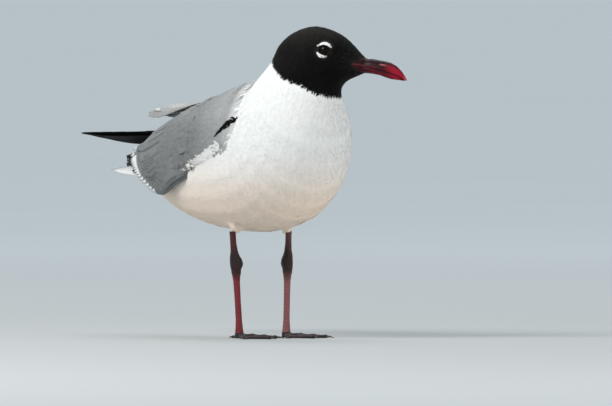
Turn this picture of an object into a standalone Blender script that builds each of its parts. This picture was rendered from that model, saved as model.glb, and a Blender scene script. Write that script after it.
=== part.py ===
"""Laughing gull in breeding plumage, standing at rest with its head turned to its left.

Life size, in metres, +Z up. The bird faces -Y, its right side is -X, and its soles stand on
the plane Z = 0. The body is one loft of rings that runs from the tail coverts through the
trunk and the neck to the base of the bill, and it is parted into named pieces by thin cuts.
"""
import math

import bmesh
import bpy
import numpy as np
from mathutils import Matrix, Vector
from mathutils.bvhtree import BVHTree

# ---------------------------------------------------------------- driving dimensions, mm
MM = 0.001
GAP = 0.3                    # clearance between pieces that touch

RING_SIDES = 24              # points round the body
BODY_STEPS = 40              # rings along the body
ARCH_STEPS = 12              # sides round half of the bill
HEAD_TURN = 31.0             # degrees, to the bird's left
TURN_AXIS_Y = -44.0          # the neck turns about this upright line

EYE_RADIUS = 5.2
EYE_CENTRE = (15.9, -73.4, 208.6)      # left eye, before the head is turned

WING_THICKNESS = 3.0
WING_BLEND = 2.5             # how softly the wing leaves the trunk behind the flank
CHORD_ROOM = 0.6             # room under the wing for the trunk's roundness between points
AXIS_Z = 125.0               # height of the line that the wing's angles are measured from

SOLE_Z = 0.0
LEG_SHIFT = 2.6              # both legs stand this far to the bird's left of its middle line
FOOT_X = 20.5
FOOT_Y = 4.0
ANKLE_X = 22.5
ANKLE_Y = 5.5
KNEE_Z = 74.5                # where the bare shin leaves the feathered thigh
WEB_LOW = 0.35               # underside of the web
WEB_THICKNESS = 1.5
WEB_HOLLOW = 0.13            # how far the web's front edge draws back between two toes, as a share
TOE_REACH = {"inner": 28.5, "middle": 38.0, "outer": 33.0}
TOE_SPREAD = {"inner": 30.0, "middle": 0.0, "outer": -28.0}
CLAW_LENGTH = 6.5
CLAW_RADIUS = 1.15
HIND_REACH = 7.0
HIND_CLAW_LENGTH = 3.0
HIND_CLAW_RADIUS = 0.85
FOOT_TURN = {"right": 0.0, "left": 4.0}    # degrees, toes inward

# Rings of the body, from the tail coverts forward: where the ring crosses the back (y, z) and
# the belly (y, z), its half width, and the share of the head's turn that it takes.
BODY_RINGS = (
    (137.0, 123.6, 136.6, 114.6, 13.0, 0.0),
    (131.0, 127.0, 133.0, 109.8, 16.0, 0.0),
    (116.0, 132.5, 123.0, 103.0, 20.5, 0.0),
    (93.0, 142.5, 106.0, 94.0, 27.0, 0.0),
    (66.0, 158.5, 78.0, 84.5, 36.0, 0.0),
    (38.0, 175.0, 44.0, 77.3, 44.0, 0.0),
    (10.0, 182.5, 8.0, 75.0, 48.0, 0.0),
    (-10.0, 186.5, -22.0, 77.0, 50.0, 0.0),
    (-18.0, 188.8, -47.0, 87.0, 49.5, 0.0),
    (-21.5, 191.5, -66.0, 107.0, 46.5, 0.0),
    (-23.5, 194.5, -77.5, 136.0, 41.0, 0.08),
    (-25.0, 198.0, -79.0, 160.0, 33.5, 0.3),
    (-26.5, 202.0, -77.0, 176.0, 27.0, 0.75),
    (-28.5, 207.5, -79.0, 183.0, 23.5, 1.0),
    (-32.0, 214.0, -82.5, 186.0, 22.4, 1.0),
    (-39.5, 220.6, -85.0, 187.2, 22.0, 1.0),
    (-49.0, 225.0, -87.0, 188.0, 21.6, 1.0),
    (-59.5, 226.8, -88.8, 188.8, 20.6, 1.0),
    (-70.0, 224.4, -90.6, 189.4, 18.4, 1.0),
    (-78.5, 220.6, -92.2, 190.0, 15.8, 1.0),
    (-86.5, 214.6, -93.8, 190.6, 12.6, 1.0),
    (-93.5, 208.4, -95.2, 191.0, 9.4, 1.0),
    (-99.2, 204.0, -96.4, 191.6, 6.4, 1.0),
)
NECK_RING = 9.6              # where the trunk ends and the neck begins, counted in rings
HEAD_RING = 12.55            # where the neck ends and the head begins

# Bill, before the head is turned: (y, culmen z, mouth line z, chin z, half width).
BILL_STATIONS = (
    (-99.6, 203.9, 196.8, 192.0, 6.2),
    (-104.5, 202.9, 195.6, 192.3, 5.5),
    (-110.5, 201.9, 194.2, 191.2, 4.8),
    (-115.0, 201.2, 193.0, 189.7, 4.3),
    (-119.0, 200.2, 191.9, 188.5, 3.8),
    (-123.3, 197.9, 190.6, 188.0, 3.1),
    (-127.0, 194.4, 189.2, 187.6, 2.2),
    (-129.3, 191.6, 188.1, 187.1, 1.4),
)
BILL_TIP = (-131.4, 187.0)   # the hooked point of the upper bill (y, z)

# Wing as it lies closed on the body, as angles from straight up (degrees) at places along Y.
WING_TOP = ((-16.0, 13.0), (20.0, 14.0), (60.0, 20.0), (80.0, 36.0), (110.0, 46.0), (124.0, 56.0))
WING_LOW = ((-22.0, 74.0), (0.0, 82.0), (25.0, 90.0), (55.0, 101.0), (84.0, 119.0), (124.0, 116.0))
WING_FRONT = ((0.0, -12.0), (0.35, -25.0), (0.7, -31.0), (1.0, -24.0))   # share of the height, y
WING_REAR = ((0.0, 112.0), (0.25, 122.0), (0.5, 120.0), (0.8, 106.0), (1.0, 86.0))
# Closed wing's distance from the axis line where it stands clear of the trunk: (y, side, top).
WING_FORM = ((40.0, 46.5, 50.0), (70.0, 45.5, 43.0), (100.0, 39.5, 32.0), (126.0, 26.5, 23.5))
MANTLE_FRONT = -15.0         # front and rear of the grey saddle on the middle line
MANTLE_REAR = 58.0
MANTLE_CLEAR = 0.6           # degrees between the saddle and each wing
COVERT_SHARE = 0.50          # share of the wing's length that the shoulder coverts take
WING_CUT = 0.004             # share of the wing left open between two of its pieces
TERTIAL_SHARE = 0.42         # share of the rear wing's height that the tertials take
TIP_LOBES = 5                # feather tips along the rear edge of the secondaries
TERTIAL_LOBES = 3            # and of the tertials
LOBE_DEPTH = 2.4

# Blades: rows of (x, y, z of the middle, width, thickness, roll in degrees).
LEFT_TERTIALS = (
    (26.0, 57.0, 162.6, 27.0, 3.0, 40.0),
    (21.0, 70.0, 164.8, 29.0, 3.4, 30.0),
    (13.0, 92.0, 166.0, 29.0, 3.2, 14.0),
    (2.0, 114.0, 165.0, 24.0, 2.4, -14.0),
    (-7.0, 128.0, 162.0, 15.0, 1.8, -34.0),
    (-11.0, 134.0, 160.6, 6.0, 1.2, -40.0),
)
LEFT_PRIMARIES = (
    (21.0, 98.0, 146.0, 21.0, 5.0, 42.0),
    (14.0, 130.0, 145.5, 20.0, 4.4, 38.0),
    (2.0, 160.0, 145.6, 15.5, 3.2, 34.0),
    (-11.0, 188.0, 147.0, 9.0, 2.2, 30.0),
    (-18.0, 203.0, 147.9, 4.2, 1.4, 30.0),
    (-20.3, 208.5, 148.2, 1.6, 1.0, 30.0),
)
RIGHT_PRIMARIES = (
    (-26.5, 95.0, 135.0, 20.0, 4.0, -60.0),
    (-18.5, 119.0, 133.8, 20.0, 3.6, -58.0),
    (-9.0, 140.0, 132.4, 18.5, 3.2, -56.0),
    (-2.5, 154.0, 131.2, 16.5, 2.8, -54.0),
    (10.0, 184.0, 130.0, 10.5, 2.2, -50.0),
    (18.5, 205.0, 130.3, 4.6, 1.4, -50.0),
    (20.8, 211.0, 130.4, 1.6, 1.0, -50.0),
)
TAIL = (
    (0.0, 137.6, 119.6, 26.0, 6.0, 0.0),
    (0.0, 149.0, 119.8, 34.0, 4.0, 0.0),
    (0.0, 161.0, 119.0, 41.0, 2.6, 0.0),
    (0.0, 168.5, 118.4, 44.0, 1.8, 0.0),
)

# ---------------------------------------------------------------- colours (linear RGB)
COLOURS = {
    "white_plumage": ((0.82, 0.82, 0.80), 0.85),
    "hood": ((0.016, 0.014, 0.013), 0.75),
    "grey_wing": ((0.20, 0.215, 0.225), 0.8),
    "black_feather": ((0.010, 0.010, 0.011), 0.6),
    "bill_red": ((0.16, 0.006, 0.012), 0.35),
    "leg_red": ((0.075, 0.012, 0.014), 0.5),
    "foot_dark": ((0.022, 0.012, 0.012), 0.55),
    "claw_black": ((0.008, 0.008, 0.008), 0.4),
    "eye_dark": ((0.014, 0.005, 0.003), 0.05),
}


# ---------------------------------------------------------------- helpers
def make_collection(name):
    """A new collection under the scene's own."""
    collection = bpy.data.collections.new(name)
    bpy.context.scene.collection.children.link(collection)
    return collection


def clear_scene():
    """Remove every object that the file starts with."""
    for obj in list(bpy.data.objects):
        bpy.data.objects.remove(obj, do_unlink=True)


def material(name):
    """The Principled material of one finish."""
    found = bpy.data.materials.get(name)
    if found:
        return found
    colour, roughness = COLOURS[name]
    made = bpy.data.materials.new(name)
    made.use_nodes = True
    shader = made.node_tree.nodes["Principled BSDF"]
    shader.inputs["Base Color"].default_value = (*colour, 1.0)
    shader.inputs["Roughness"].default_value = roughness
    shader.inputs["Metallic"].default_value = 0.0
    made.diffuse_color = (*colour, 1.0)
    return made


def spline(keys, values, where):
    """Smooth curve through values at keys, read at where (Catmull-Rom tangents)."""
    keys = np.asarray(keys, float)
    values = np.asarray(values, float)
    slopes = np.gradient(values, keys, axis=0)
    where = np.clip(where, keys[0], keys[-1])
    left = np.clip(np.searchsorted(keys, where, side="right") - 1, 0, len(keys) - 2)
    span = keys[left + 1] - keys[left]
    t = (where - keys[left]) / span
    rise = 3 * t ** 2 - 2 * t ** 3
    leave = span * (t ** 3 - 2 * t ** 2 + t)
    arrive = span * (t ** 3 - t ** 2)
    level = (1 - rise) * values[left] + rise * values[left + 1]
    return level + leave * slopes[left] + arrive * slopes[left + 1]


def along(rows, where):
    """Read a table whose first column is the place, at one place."""
    rows = np.asarray(rows, float)
    return spline(rows[:, 0], rows[:, 1:], where)


def add_object(name, mesh, finish, collection):
    """Wrap a mesh as a named object with its finish."""
    obj = bpy.data.objects.new(name, mesh)
    collection.objects.link(obj)
    obj.data.materials.append(material(finish))
    obj.data.shade_smooth()
    obj.data.set_sharp_from_angle(angle=math.radians(40))
    return obj


def loft(name, rings, finish, collection):
    """Closed solid through a list of rings with equal point counts; positions in mm."""
    work = bmesh.new()
    loops = []
    for ring in rings:
        loops.append([work.verts.new(Vector(point) * MM) for point in ring])
    count = len(loops[0])
    for near, far in zip(loops, loops[1:]):
        for i in range(count):
            k = (i + 1) % count
            work.faces.new((near[i], near[k], far[k], far[i]))
    for loop in (loops[0], loops[-1]):
        middle = work.verts.new(sum((v.co for v in loop), Vector()) / count)
        for i in range(count):
            work.faces.new((loop[i], loop[(i + 1) % count], middle))
    bmesh.ops.recalc_face_normals(work, faces=work.faces)
    mesh = bpy.data.meshes.new(name)
    work.to_mesh(mesh)
    work.free()
    return add_object(name, mesh, finish, collection)


def applied(obj):
    """Replace an object's mesh by its evaluated mesh, with the modifiers used up."""
    view = bpy.context.evaluated_depsgraph_get()
    view.update()
    mesh = bpy.data.meshes.new_from_object(obj.evaluated_get(view))
    obj.modifiers.clear()
    obj.data = mesh
    return obj


def combine(obj, other, operation):
    """Exact Boolean of obj with other; other becomes a hidden cutter."""
    step = obj.modifiers.new(operation.lower(), "BOOLEAN")
    step.operation = operation
    step.solver = "EXACT"
    step.object = other
    other.hide_render = True
    other.display_type = "WIRE"
    return applied(obj)


def turned(point, share=1.0):
    """A point of the head or neck after the head's turn."""
    pivot = Matrix.Translation((0.0, TURN_AXIS_Y, 0.0))
    spin = Matrix.Rotation(math.radians(HEAD_TURN * share), 4, "Z")
    return pivot @ spin @ pivot.inverted() @ Vector(point)


def mirrored(side):
    """Sign of X on one side of the bird: its left is +X."""
    return 1.0 if side == "left" else -1.0


# ---------------------------------------------------------------- body
def body_ring(place):
    """One ring of the body, counted in rows of BODY_RINGS."""
    rows = np.asarray(BODY_RINGS)
    back_y, back_z, belly_y, belly_z, half_width, share = spline(range(len(rows)), rows, place)
    centre = Vector((0.0, (back_y + belly_y) / 2, (back_z + belly_z) / 2))
    up = Vector((0.0, (back_y - belly_y) / 2, (back_z - belly_z) / 2))
    points = []
    for i in range(RING_SIDES):
        angle = 2 * math.pi * i / RING_SIDES
        point = centre + up * math.cos(angle) + Vector((half_width * math.sin(angle), 0.0, 0.0))
        points.append(turned(point, share))
    return points


def shifted(ring, distance):
    """The ring moved square to its own plane, towards the bill for a positive distance."""
    quarter = RING_SIDES // 4
    normal = (ring[0] - ring[2 * quarter]).cross(ring[quarter] - ring[3 * quarter])
    normal.normalize()
    if normal.y > 0:
        normal.negate()
    return [point + normal * distance for point in ring]


def body_piece(name, start, end, finish, collection):
    """The part of the body between two places, cut clear of its neighbours."""
    last = len(BODY_RINGS) - 1
    steps = max(4, round(BODY_STEPS * (end - start) / last))
    rings = [body_ring(place) for place in np.linspace(start, end, steps + 1)]
    if start > 0:
        rings[0] = shifted(rings[0], GAP)
    return loft(name, rings, finish, collection)


def build_body(collection, cutters):
    """Trunk, neck and head, with a socket for each eye."""
    last = len(BODY_RINGS) - 1
    trunk = body_piece("trunk", 0, NECK_RING, "white_plumage", collection)
    body_piece("neck", NECK_RING, HEAD_RING, "white_plumage", collection)
    head = body_piece("head", HEAD_RING, last, "hood", collection)
    for side in ("right", "left"):
        x, y, z = EYE_CENTRE
        place = turned((mirrored(side) * x, y, z))
        ball(f"{side}_eye", place, EYE_RADIUS, "eye_dark", collection)
        socket = ball(f"{side}_socket", place, EYE_RADIUS + GAP, "eye_dark", cutters)
        combine(head, socket, "DIFFERENCE")
    return trunk


def ball(name, place, radius, finish, collection):
    """A ball that starts as a sphere primitive."""
    work = bmesh.new()
    bmesh.ops.create_uvsphere(work, u_segments=12, v_segments=8, radius=radius * MM)
    bmesh.ops.translate(work, verts=work.verts, vec=place * MM)
    mesh = bpy.data.meshes.new(name)
    work.to_mesh(mesh)
    work.free()
    return add_object(name, mesh, finish, collection)


# ---------------------------------------------------------------- bill
def arch(y, base_z, crest_z, half_width):
    """Half-round section that stands on the mouth line, or hangs under it."""
    points = []
    for i in range(ARCH_STEPS + 1):
        angle = math.pi * i / ARCH_STEPS - math.pi / 2
        height = (crest_z - base_z) * math.cos(angle) ** 0.8
        points.append(turned((half_width * math.sin(angle), y, base_z + height)))
    return points


def build_bill(collection):
    """Upper bill with its hooked tip, and lower bill, meeting at the mouth line."""
    upper = [arch(y, mouth + GAP / 2, top, width) for y, top, mouth, _, width in BILL_STATIONS]
    tip_y, tip_z = BILL_TIP
    upper.append(arch(tip_y, tip_z, tip_z + 1.6, 0.5))
    loft("upper_bill", upper, "bill_red", collection)
    lower = [arch(y, mouth - GAP / 2, chin, width - 0.4) for y, _, mouth, chin, width in BILL_STATIONS]
    loft("lower_bill", lower, "bill_red", collection)


# ---------------------------------------------------------------- wings
def wing_point(side, tree, y, degrees, depth):
    """Point of a closed wing's outer face, or as deep under it as asked."""
    angle = math.radians(degrees)
    origin = Vector((0.0, y, AXIS_Z))
    direction = Vector((mirrored(side) * math.sin(angle), 0.0, math.cos(angle)))
    hit = tree.ray_cast(origin * MM, direction)
    on_body = hit[3] / MM + GAP + CHORD_ROOM + WING_THICKNESS if hit[0] else 0.0
    form_side, form_top = along(WING_FORM, y)
    free = 1.0 / math.hypot(math.sin(angle) / form_side, math.cos(angle) / form_top)
    reach = max(on_body, free) + WING_BLEND * math.exp(-abs(on_body - free) / WING_BLEND) / 3
    return origin + direction * (reach - depth)


def wing_patch(name, side, tree, lengths, heights, lobes, finish, collection):
    """Shell over part of the wing: lengths and heights are shares of the whole wing."""
    columns = 7
    rows = 4 * lobes if lobes else 10
    outer = []
    inner = []
    for i in range(rows + 1):
        height = heights[0] + (heights[1] - heights[0]) * i / rows
        front = along(WING_FRONT, height)[0]
        rear = along(WING_REAR, height)[0]
        notch = LOBE_DEPTH * (1 - abs(math.sin(math.pi * lobes * i / rows)) ** 0.7) if lobes else 0.0
        outer_row = []
        inner_row = []
        for k in range(columns + 1):
            share = lengths[0] + (lengths[1] - lengths[0]) * k / columns
            y = front + (rear - front) * share - notch * (k / columns) ** 4
            low = along(WING_LOW, y)[0]
            top = along(WING_TOP, y)[0]
            degrees = top + (low - top) * height
            outer_row.append(wing_point(side, tree, y, degrees, 0.0))
            inner_row.append(wing_point(side, tree, y, degrees, WING_THICKNESS))
        outer.append(outer_row)
        inner.append(inner_row)
    return shell(name, outer, inner, finish, collection)


def mantle_patch(tree, collection):
    """Grey saddle over the back, between the upper edges of the closed wings."""
    columns = 9
    rows = 8
    outer = []
    inner = []
    for i in range(rows + 1):
        share = 2 * i / rows - 1
        front = MANTLE_FRONT + 3.0 * share ** 2
        rear = MANTLE_REAR - 12.0 * share ** 2
        outer_row = []
        inner_row = []
        for k in range(columns + 1):
            y = front + (rear - front) * k / columns
            degrees = share * (along(WING_TOP, y)[0] - MANTLE_CLEAR)
            outer_row.append(wing_point("left", tree, y, degrees, 0.0))
            inner_row.append(wing_point("left", tree, y, degrees, WING_THICKNESS))
        outer.append(outer_row)
        inner.append(inner_row)
    shell("mantle", outer, inner, "grey_wing", collection)


def shell(name, outer, inner, finish, collection):
    """Closed solid between two grids of points, in mm."""
    work = bmesh.new()
    grids = [[[work.verts.new(Vector(p) * MM) for p in row] for row in grid] for grid in (outer, inner)]
    rows = len(outer)
    columns = len(outer[0])
    for grid in grids:
        for i in range(rows - 1):
            for k in range(columns - 1):
                work.faces.new((grid[i][k], grid[i + 1][k], grid[i + 1][k + 1], grid[i][k + 1]))
    rim = [(0, k) for k in range(columns)]
    rim += [(i, columns - 1) for i in range(1, rows)]
    rim += [(rows - 1, k) for k in range(columns - 2, -1, -1)]
    rim += [(i, 0) for i in range(rows - 2, 0, -1)]
    for (i, k), (m, n) in zip(rim, rim[1:] + rim[:1]):
        work.faces.new((grids[0][i][k], grids[0][m][n], grids[1][m][n], grids[1][i][k]))
    bmesh.ops.recalc_face_normals(work, faces=work.faces)
    mesh = bpy.data.meshes.new(name)
    work.to_mesh(mesh)
    work.free()
    return add_object(name, mesh, finish, collection)


def blade(name, rows, finish, collection, steps=12, sides=10):
    """Stack of long feathers: a flat oval section swept along its own line."""
    rows = np.asarray(rows, float)
    keys = np.concatenate(([0.0], np.cumsum(np.linalg.norm(np.diff(rows[:, :3], axis=0), axis=1))))
    places = np.linspace(0.0, keys[-1], steps + 1)
    rings = []
    for place in places:
        x, y, z, width, thickness, roll = spline(keys, rows, place)
        ahead = spline(keys, rows, place + 0.5)[:3] - spline(keys, rows, place - 0.5)[:3]
        ahead = Vector(ahead).normalized()
        across = Vector((0.0, 0.0, 1.0)).cross(ahead).normalized()
        across.rotate(Matrix.Rotation(math.radians(roll), 3, ahead))
        over = ahead.cross(across)
        ring = []
        for i in range(sides):
            angle = 2 * math.pi * i / sides
            ring.append(Vector((x, y, z)) + across * (width / 2 * math.cos(angle))
                        + over * (thickness / 2 * math.sin(angle)))
        rings.append(ring)
    return loft(name, rings, finish, collection)


def build_wings(trunk, collection):
    """Shoulder coverts, secondaries, tertials and primaries of both closed wings."""
    tree = BVHTree.FromObject(trunk, bpy.context.evaluated_depsgraph_get())
    mantle_patch(tree, collection)
    for side in ("right", "left"):
        wing_patch(f"{side}_wing_coverts", side, tree, (0.0, COVERT_SHARE), (0.0, 1.0), 0,
                   "grey_wing", collection)
        wing_patch(f"{side}_secondaries", side, tree, (COVERT_SHARE + WING_CUT, 1.0),
                   (TERTIAL_SHARE + WING_CUT, 1.0), TIP_LOBES, "grey_wing", collection)
    wing_patch("right_tertials", "right", tree, (COVERT_SHARE + WING_CUT, 1.0),
               (0.0, TERTIAL_SHARE), TERTIAL_LOBES, "grey_wing", collection)
    blade("left_tertials", LEFT_TERTIALS, "grey_wing", collection)
    blade("left_primaries", LEFT_PRIMARIES, "black_feather", collection)
    blade("right_primaries", RIGHT_PRIMARIES, "black_feather", collection)


# ---------------------------------------------------------------- legs and feet
def round_rings(rows, sides=12):
    """Level oval rings from rows of (x, y, z, half width, half depth)."""
    rings = []
    for x, y, z, half_x, half_y in rows:
        ring = []
        for i in range(sides):
            angle = 2 * math.pi * i / sides
            ring.append((x + half_x * math.cos(angle), y + half_y * math.sin(angle), z))
        rings.append(ring)
    return rings


def leg_rows(side, sections):
    """Sections of (share from foot to ankle, z, half width, half depth) set on the leg's line."""
    sign = mirrored(side)
    rows = []
    for share, z, half_x, half_y in sections:
        x = FOOT_X + (ANKLE_X - FOOT_X) * share
        y = FOOT_Y + (ANKLE_Y - FOOT_Y) * share
        rows.append((LEG_SHIFT + sign * x, y, z, half_x, half_y))
    return rows


def build_leg(side, trunk_clear, collection):
    """Feathered thigh, bare shin with its ankle, and tarsus."""
    tarsus = ((0.0, 5.2, 2.9, 3.2), (0.05, 8.0, 2.4, 2.7), (0.15, 13.0, 1.9, 2.3),
              (0.5, 28.0, 1.8, 2.3), (0.8, 41.0, 2.0, 2.5), (0.9, 46.0, 2.7, 3.1))
    loft(f"{side}_tarsus", round_rings(leg_rows(side, tarsus)), "leg_red", collection)
    shin = ((0.9, 46.0 + GAP, 2.9, 3.3), (0.95, 50.0, 3.6, 4.0), (1.0, 54.5, 3.9, 4.3),
            (1.02, 58.5, 3.4, 3.8), (1.02, 63.0, 2.3, 2.6), (1.0, 69.0, 1.9, 2.1),
            (0.97, KNEE_Z - GAP, 2.0, 2.2))
    loft(f"{side}_shin", round_rings(leg_rows(side, shin)), "leg_red", collection)
    thigh = ((0.97, KNEE_Z, 3.0, 3.4), (0.9, 77.0, 4.6, 5.4), (0.7, 80.5, 6.6, 8.4),
             (0.3, 84.5, 6.4, 8.6), (-0.2, 89.0, 4.0, 5.0))
    piece = loft(f"{side}_thigh", round_rings(leg_rows(side, thigh)), "white_plumage", collection)
    combine(piece, trunk_clear, "DIFFERENCE")


def toe_rings(root, heading, reach, base_radius, tip_radius, joints):
    """Rings of a toe that lies on the floor, swollen at its joints."""
    side = Vector((-heading.y, heading.x, 0.0))
    steps = 9
    rings = []
    for i in range(steps + 1):
        share = i / steps
        radius = base_radius + (tip_radius - base_radius) * share
        radius *= 1.0 + 0.13 * math.cos(2 * math.pi * joints * share)
        centre = root + heading * (reach * share)
        centre.z = radius * 0.72
        ring = []
        for k in range(8):
            angle = 2 * math.pi * k / 8
            ring.append(centre + side * (radius * math.cos(angle))
                        + Vector((0.0, 0.0, radius * 0.9 * math.sin(angle))))
        rings.append(ring)
    return rings


def claw_rings(root, heading, length, radius):
    """Rings of a claw that curves down to the floor."""
    side = Vector((-heading.y, heading.x, 0.0))
    steps = 4
    rings = []
    for i in range(steps + 1):
        share = i / steps
        size = radius * (1.0 - 0.86 * share)
        centre = root + heading * (length * share)
        centre.z = root.z * (1.0 - share ** 1.6) + (size + 0.05) * share
        ring = []
        for k in range(6):
            angle = 2 * math.pi * k / 6
            ring.append(centre + side * (size * 0.8 * math.cos(angle))
                        + Vector((0.0, 0.0, size * math.sin(angle))))
        rings.append(ring)
    return rings


def flat_plate(name, outline, low, high, finish, collection):
    """A level plate with this outline, between two heights."""
    work = bmesh.new()
    face = work.faces.new([work.verts.new(Vector((x, y, low)) * MM) for x, y in outline])
    grown_part = bmesh.ops.extrude_face_region(work, geom=[face])["geom"]
    raised = [item for item in grown_part if isinstance(item, bmesh.types.BMVert)]
    bmesh.ops.translate(work, verts=raised, vec=(0.0, 0.0, (high - low) * MM))
    bmesh.ops.recalc_face_normals(work, faces=work.faces)
    mesh = bpy.data.meshes.new(name)
    work.to_mesh(mesh)
    work.free()
    return add_object(name, mesh, finish, collection)


def web_outline(root, tips):
    """Outline of the web: out along the toes, with a hollow front edge between them."""
    points = [(root.x, root.y + 1.5)]
    for near, far in zip(tips, tips[1:]):
        for i in range(7):
            share = i / 6
            point = near.lerp(far, share)
            sag = 4 * share * (1 - share) * WEB_HOLLOW
            point = point.lerp(root, sag)
            if i or near is tips[0]:
                points.append((point.x, point.y))
    return points


def build_foot(side, collection, cutters):
    """Webbed foot with flat soles, small hind toe and four claws."""
    sign = mirrored(side)
    root = Vector((LEG_SHIFT + sign * FOOT_X, FOOT_Y - 2.0, 0.0))
    spin = math.radians(FOOT_TURN[side])
    tips = []
    pieces = []
    for toe, reach in TOE_REACH.items():
        bearing = -sign * (spin + math.radians(TOE_SPREAD[toe]))
        heading = Vector((math.sin(bearing), -math.cos(bearing), 0.0))
        rings = toe_rings(root, heading, reach, 2.35, 1.5, 3)
        pieces.append(loft(f"{side}_{toe}_toe", rings, "foot_dark", cutters))
        tips.append(root + heading * (reach - 3.5))
        start = root + heading * (reach + GAP)
        start.z = CLAW_RADIUS
        claw = claw_rings(start, heading, CLAW_LENGTH, CLAW_RADIUS)
        loft(f"{side}_{toe}_claw", claw, "claw_black", collection)
    back = Vector((sign * 0.25, 1.0, 0.0)).normalized()
    heel = Vector((LEG_SHIFT + sign * FOOT_X, FOOT_Y, 0.0))
    toe = toe_rings(heel, back, HIND_REACH, 1.9, 1.1, 1)
    pieces.append(loft(f"{side}_hind_toe", toe, "foot_dark", cutters))
    start = heel + back * (HIND_REACH + GAP)
    start.z = HIND_CLAW_RADIUS
    claw = claw_rings(start, back, HIND_CLAW_LENGTH, HIND_CLAW_RADIUS)
    loft(f"{side}_hind_claw", claw, "claw_black", collection)
    web = web_outline(root, tips)
    pieces.append(flat_plate(f"{side}_web", web, WEB_LOW, WEB_LOW + WEB_THICKNESS, "foot_dark", cutters))
    joint = ((0.0, -1.0, 3.2, 3.6), (0.0, 2.4, 3.3, 3.7), (0.0, 5.2 - GAP, 2.9, 3.2))
    foot = loft(f"{side}_foot", round_rings(leg_rows(side, joint)), "foot_dark", collection)
    for piece in pieces:
        combine(foot, piece, "UNION")
    floor = flat_plate(f"{side}_floor", ((-80, -80), (80, -80), (80, 40), (-80, 40)), -10.0, SOLE_Z,
                       "foot_dark", cutters)
    combine(foot, floor, "DIFFERENCE")


def grown(obj, distance, collection):
    """A copy of a solid whose faces stand out by a distance in mm, for use as a cutter."""
    copy = bpy.data.objects.new(obj.name + "_clear", obj.data.copy())
    collection.objects.link(copy)
    for vertex in copy.data.vertices:
        vertex.co += obj.data.vertices[vertex.index].normal * distance * MM
    return copy


def stand_on_origin(collection):
    """Hang every piece on one empty that puts the middle of the bird's plan over the origin."""
    corners = [vertex.co for obj in collection.objects for vertex in obj.data.vertices]
    middle = [(min(c[i] for c in corners) + max(c[i] for c in corners)) / 2 for i in range(2)]
    stance = bpy.data.objects.new("gull_stance", None)
    bpy.context.scene.collection.objects.link(stance)
    stance.location = (-middle[0], -middle[1], 0.0)
    for obj in collection.objects:
        obj.parent = stance
    bpy.context.view_layer.update()


def main():
    """Build the gull."""
    clear_scene()
    gull = make_collection("laughing_gull")
    cutters = make_collection("cutters")
    trunk = build_body(gull, cutters)
    build_bill(gull)
    build_wings(trunk, gull)
    blade("tail", TAIL, "white_plumage", gull, steps=6)
    trunk_clear = grown(trunk, GAP, cutters)
    for side in ("right", "left"):
        build_leg(side, trunk_clear, gull)
        build_foot(side, gull, cutters)
    for cutter in cutters.objects:
        cutter.hide_render = True
        cutter.display_type = "WIRE"
    stand_on_origin(gull)


main()
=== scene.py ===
# %% [markdown]
# # A laughing gull, standing at rest
#
# The bird is built over a packed frame of plain solids, which gives every place and size. The
# flesh becomes one smooth skin, and the plumage is then laid on it, feather by feather, the way a
# bird's coat really works: short velvet on the face, soft pointed tufts on the breast, rounded
# tiles on the shoulder and long blades in the wing and the tail.

# %% Load the frame
import math

import bmesh
import bpy
import numpy as np
from mathutils import Matrix, Vector
from mathutils.bvhtree import BVHTree
from mathutils.kdtree import KDTree


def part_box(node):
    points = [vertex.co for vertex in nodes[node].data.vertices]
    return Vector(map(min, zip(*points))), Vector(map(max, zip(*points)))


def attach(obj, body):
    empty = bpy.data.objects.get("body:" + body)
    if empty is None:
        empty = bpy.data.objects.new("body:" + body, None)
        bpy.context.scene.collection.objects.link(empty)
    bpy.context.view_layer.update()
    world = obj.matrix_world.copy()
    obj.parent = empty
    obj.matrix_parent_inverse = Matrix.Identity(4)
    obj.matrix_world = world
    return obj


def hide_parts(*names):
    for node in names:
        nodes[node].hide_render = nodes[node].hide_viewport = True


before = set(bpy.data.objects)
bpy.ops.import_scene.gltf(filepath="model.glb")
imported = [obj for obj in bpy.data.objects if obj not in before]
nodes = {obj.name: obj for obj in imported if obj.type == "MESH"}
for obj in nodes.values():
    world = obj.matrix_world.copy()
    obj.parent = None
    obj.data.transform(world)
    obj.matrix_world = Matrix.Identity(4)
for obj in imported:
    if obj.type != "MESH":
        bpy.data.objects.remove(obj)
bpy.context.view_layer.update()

MM = 0.001

# %% [markdown]
# ## Where the bird stands
#
# The head is turned, so the model has two sets of axes: the body's, and the head's own. Both are
# read from the boxes of the solids. The body's middle line runs through the middle of the trunk,
# and the trunk ends 137 mm behind the line between its wings.

# %% Body axes and head axes
TRUNK_REAR = 137.0                  # mm from the body's origin to the end of the trunk
HEAD_TURN = math.radians(31.0)      # the head looks to the bird's left
TURN_LINE = -44.0                   # mm, the upright line in the neck that the head turns on
EYE_AHEAD = 0.9                     # mm, how far ahead of their solids the eyes sit
EYE_UP = 0.3                        # mm, and how much higher
SIDES = {"right": -1.0, "left": 1.0}    # the bird's own sides, and the sign of X there


def middle(node):
    """Middle of a solid's box."""
    low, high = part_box(node)
    return (low + high) / 2


trunk_low, trunk_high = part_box("trunk")
BODY = Vector(((trunk_low.x + trunk_high.x) / 2, trunk_high.y - TRUNK_REAR * MM, 0.0))
pivot = Matrix.Translation(BODY + Vector((0.0, TURN_LINE * MM, 0.0)))
to_head = (pivot @ Matrix.Rotation(HEAD_TURN, 4, "Z")).inverted()
from_head = to_head.inverted()
head_turn = to_head.to_3x3().inverted()
HEAD_AHEAD = head_turn @ Vector((0.0, -1.0, 0.0))
HEAD_LEFT = head_turn @ Vector((1.0, 0.0, 0.0))
EYES = {side: middle(f"{side}_eye") + HEAD_AHEAD * EYE_AHEAD * MM + Vector((0.0, 0.0, EYE_UP * MM))
        for side in SIDES}
print("body origin", [round(c * 1000, 1) for c in BODY], "mm")
print("eye in head axes", [round(c * 1000, 1) for c in to_head @ EYES["left"]], "mm")

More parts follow.
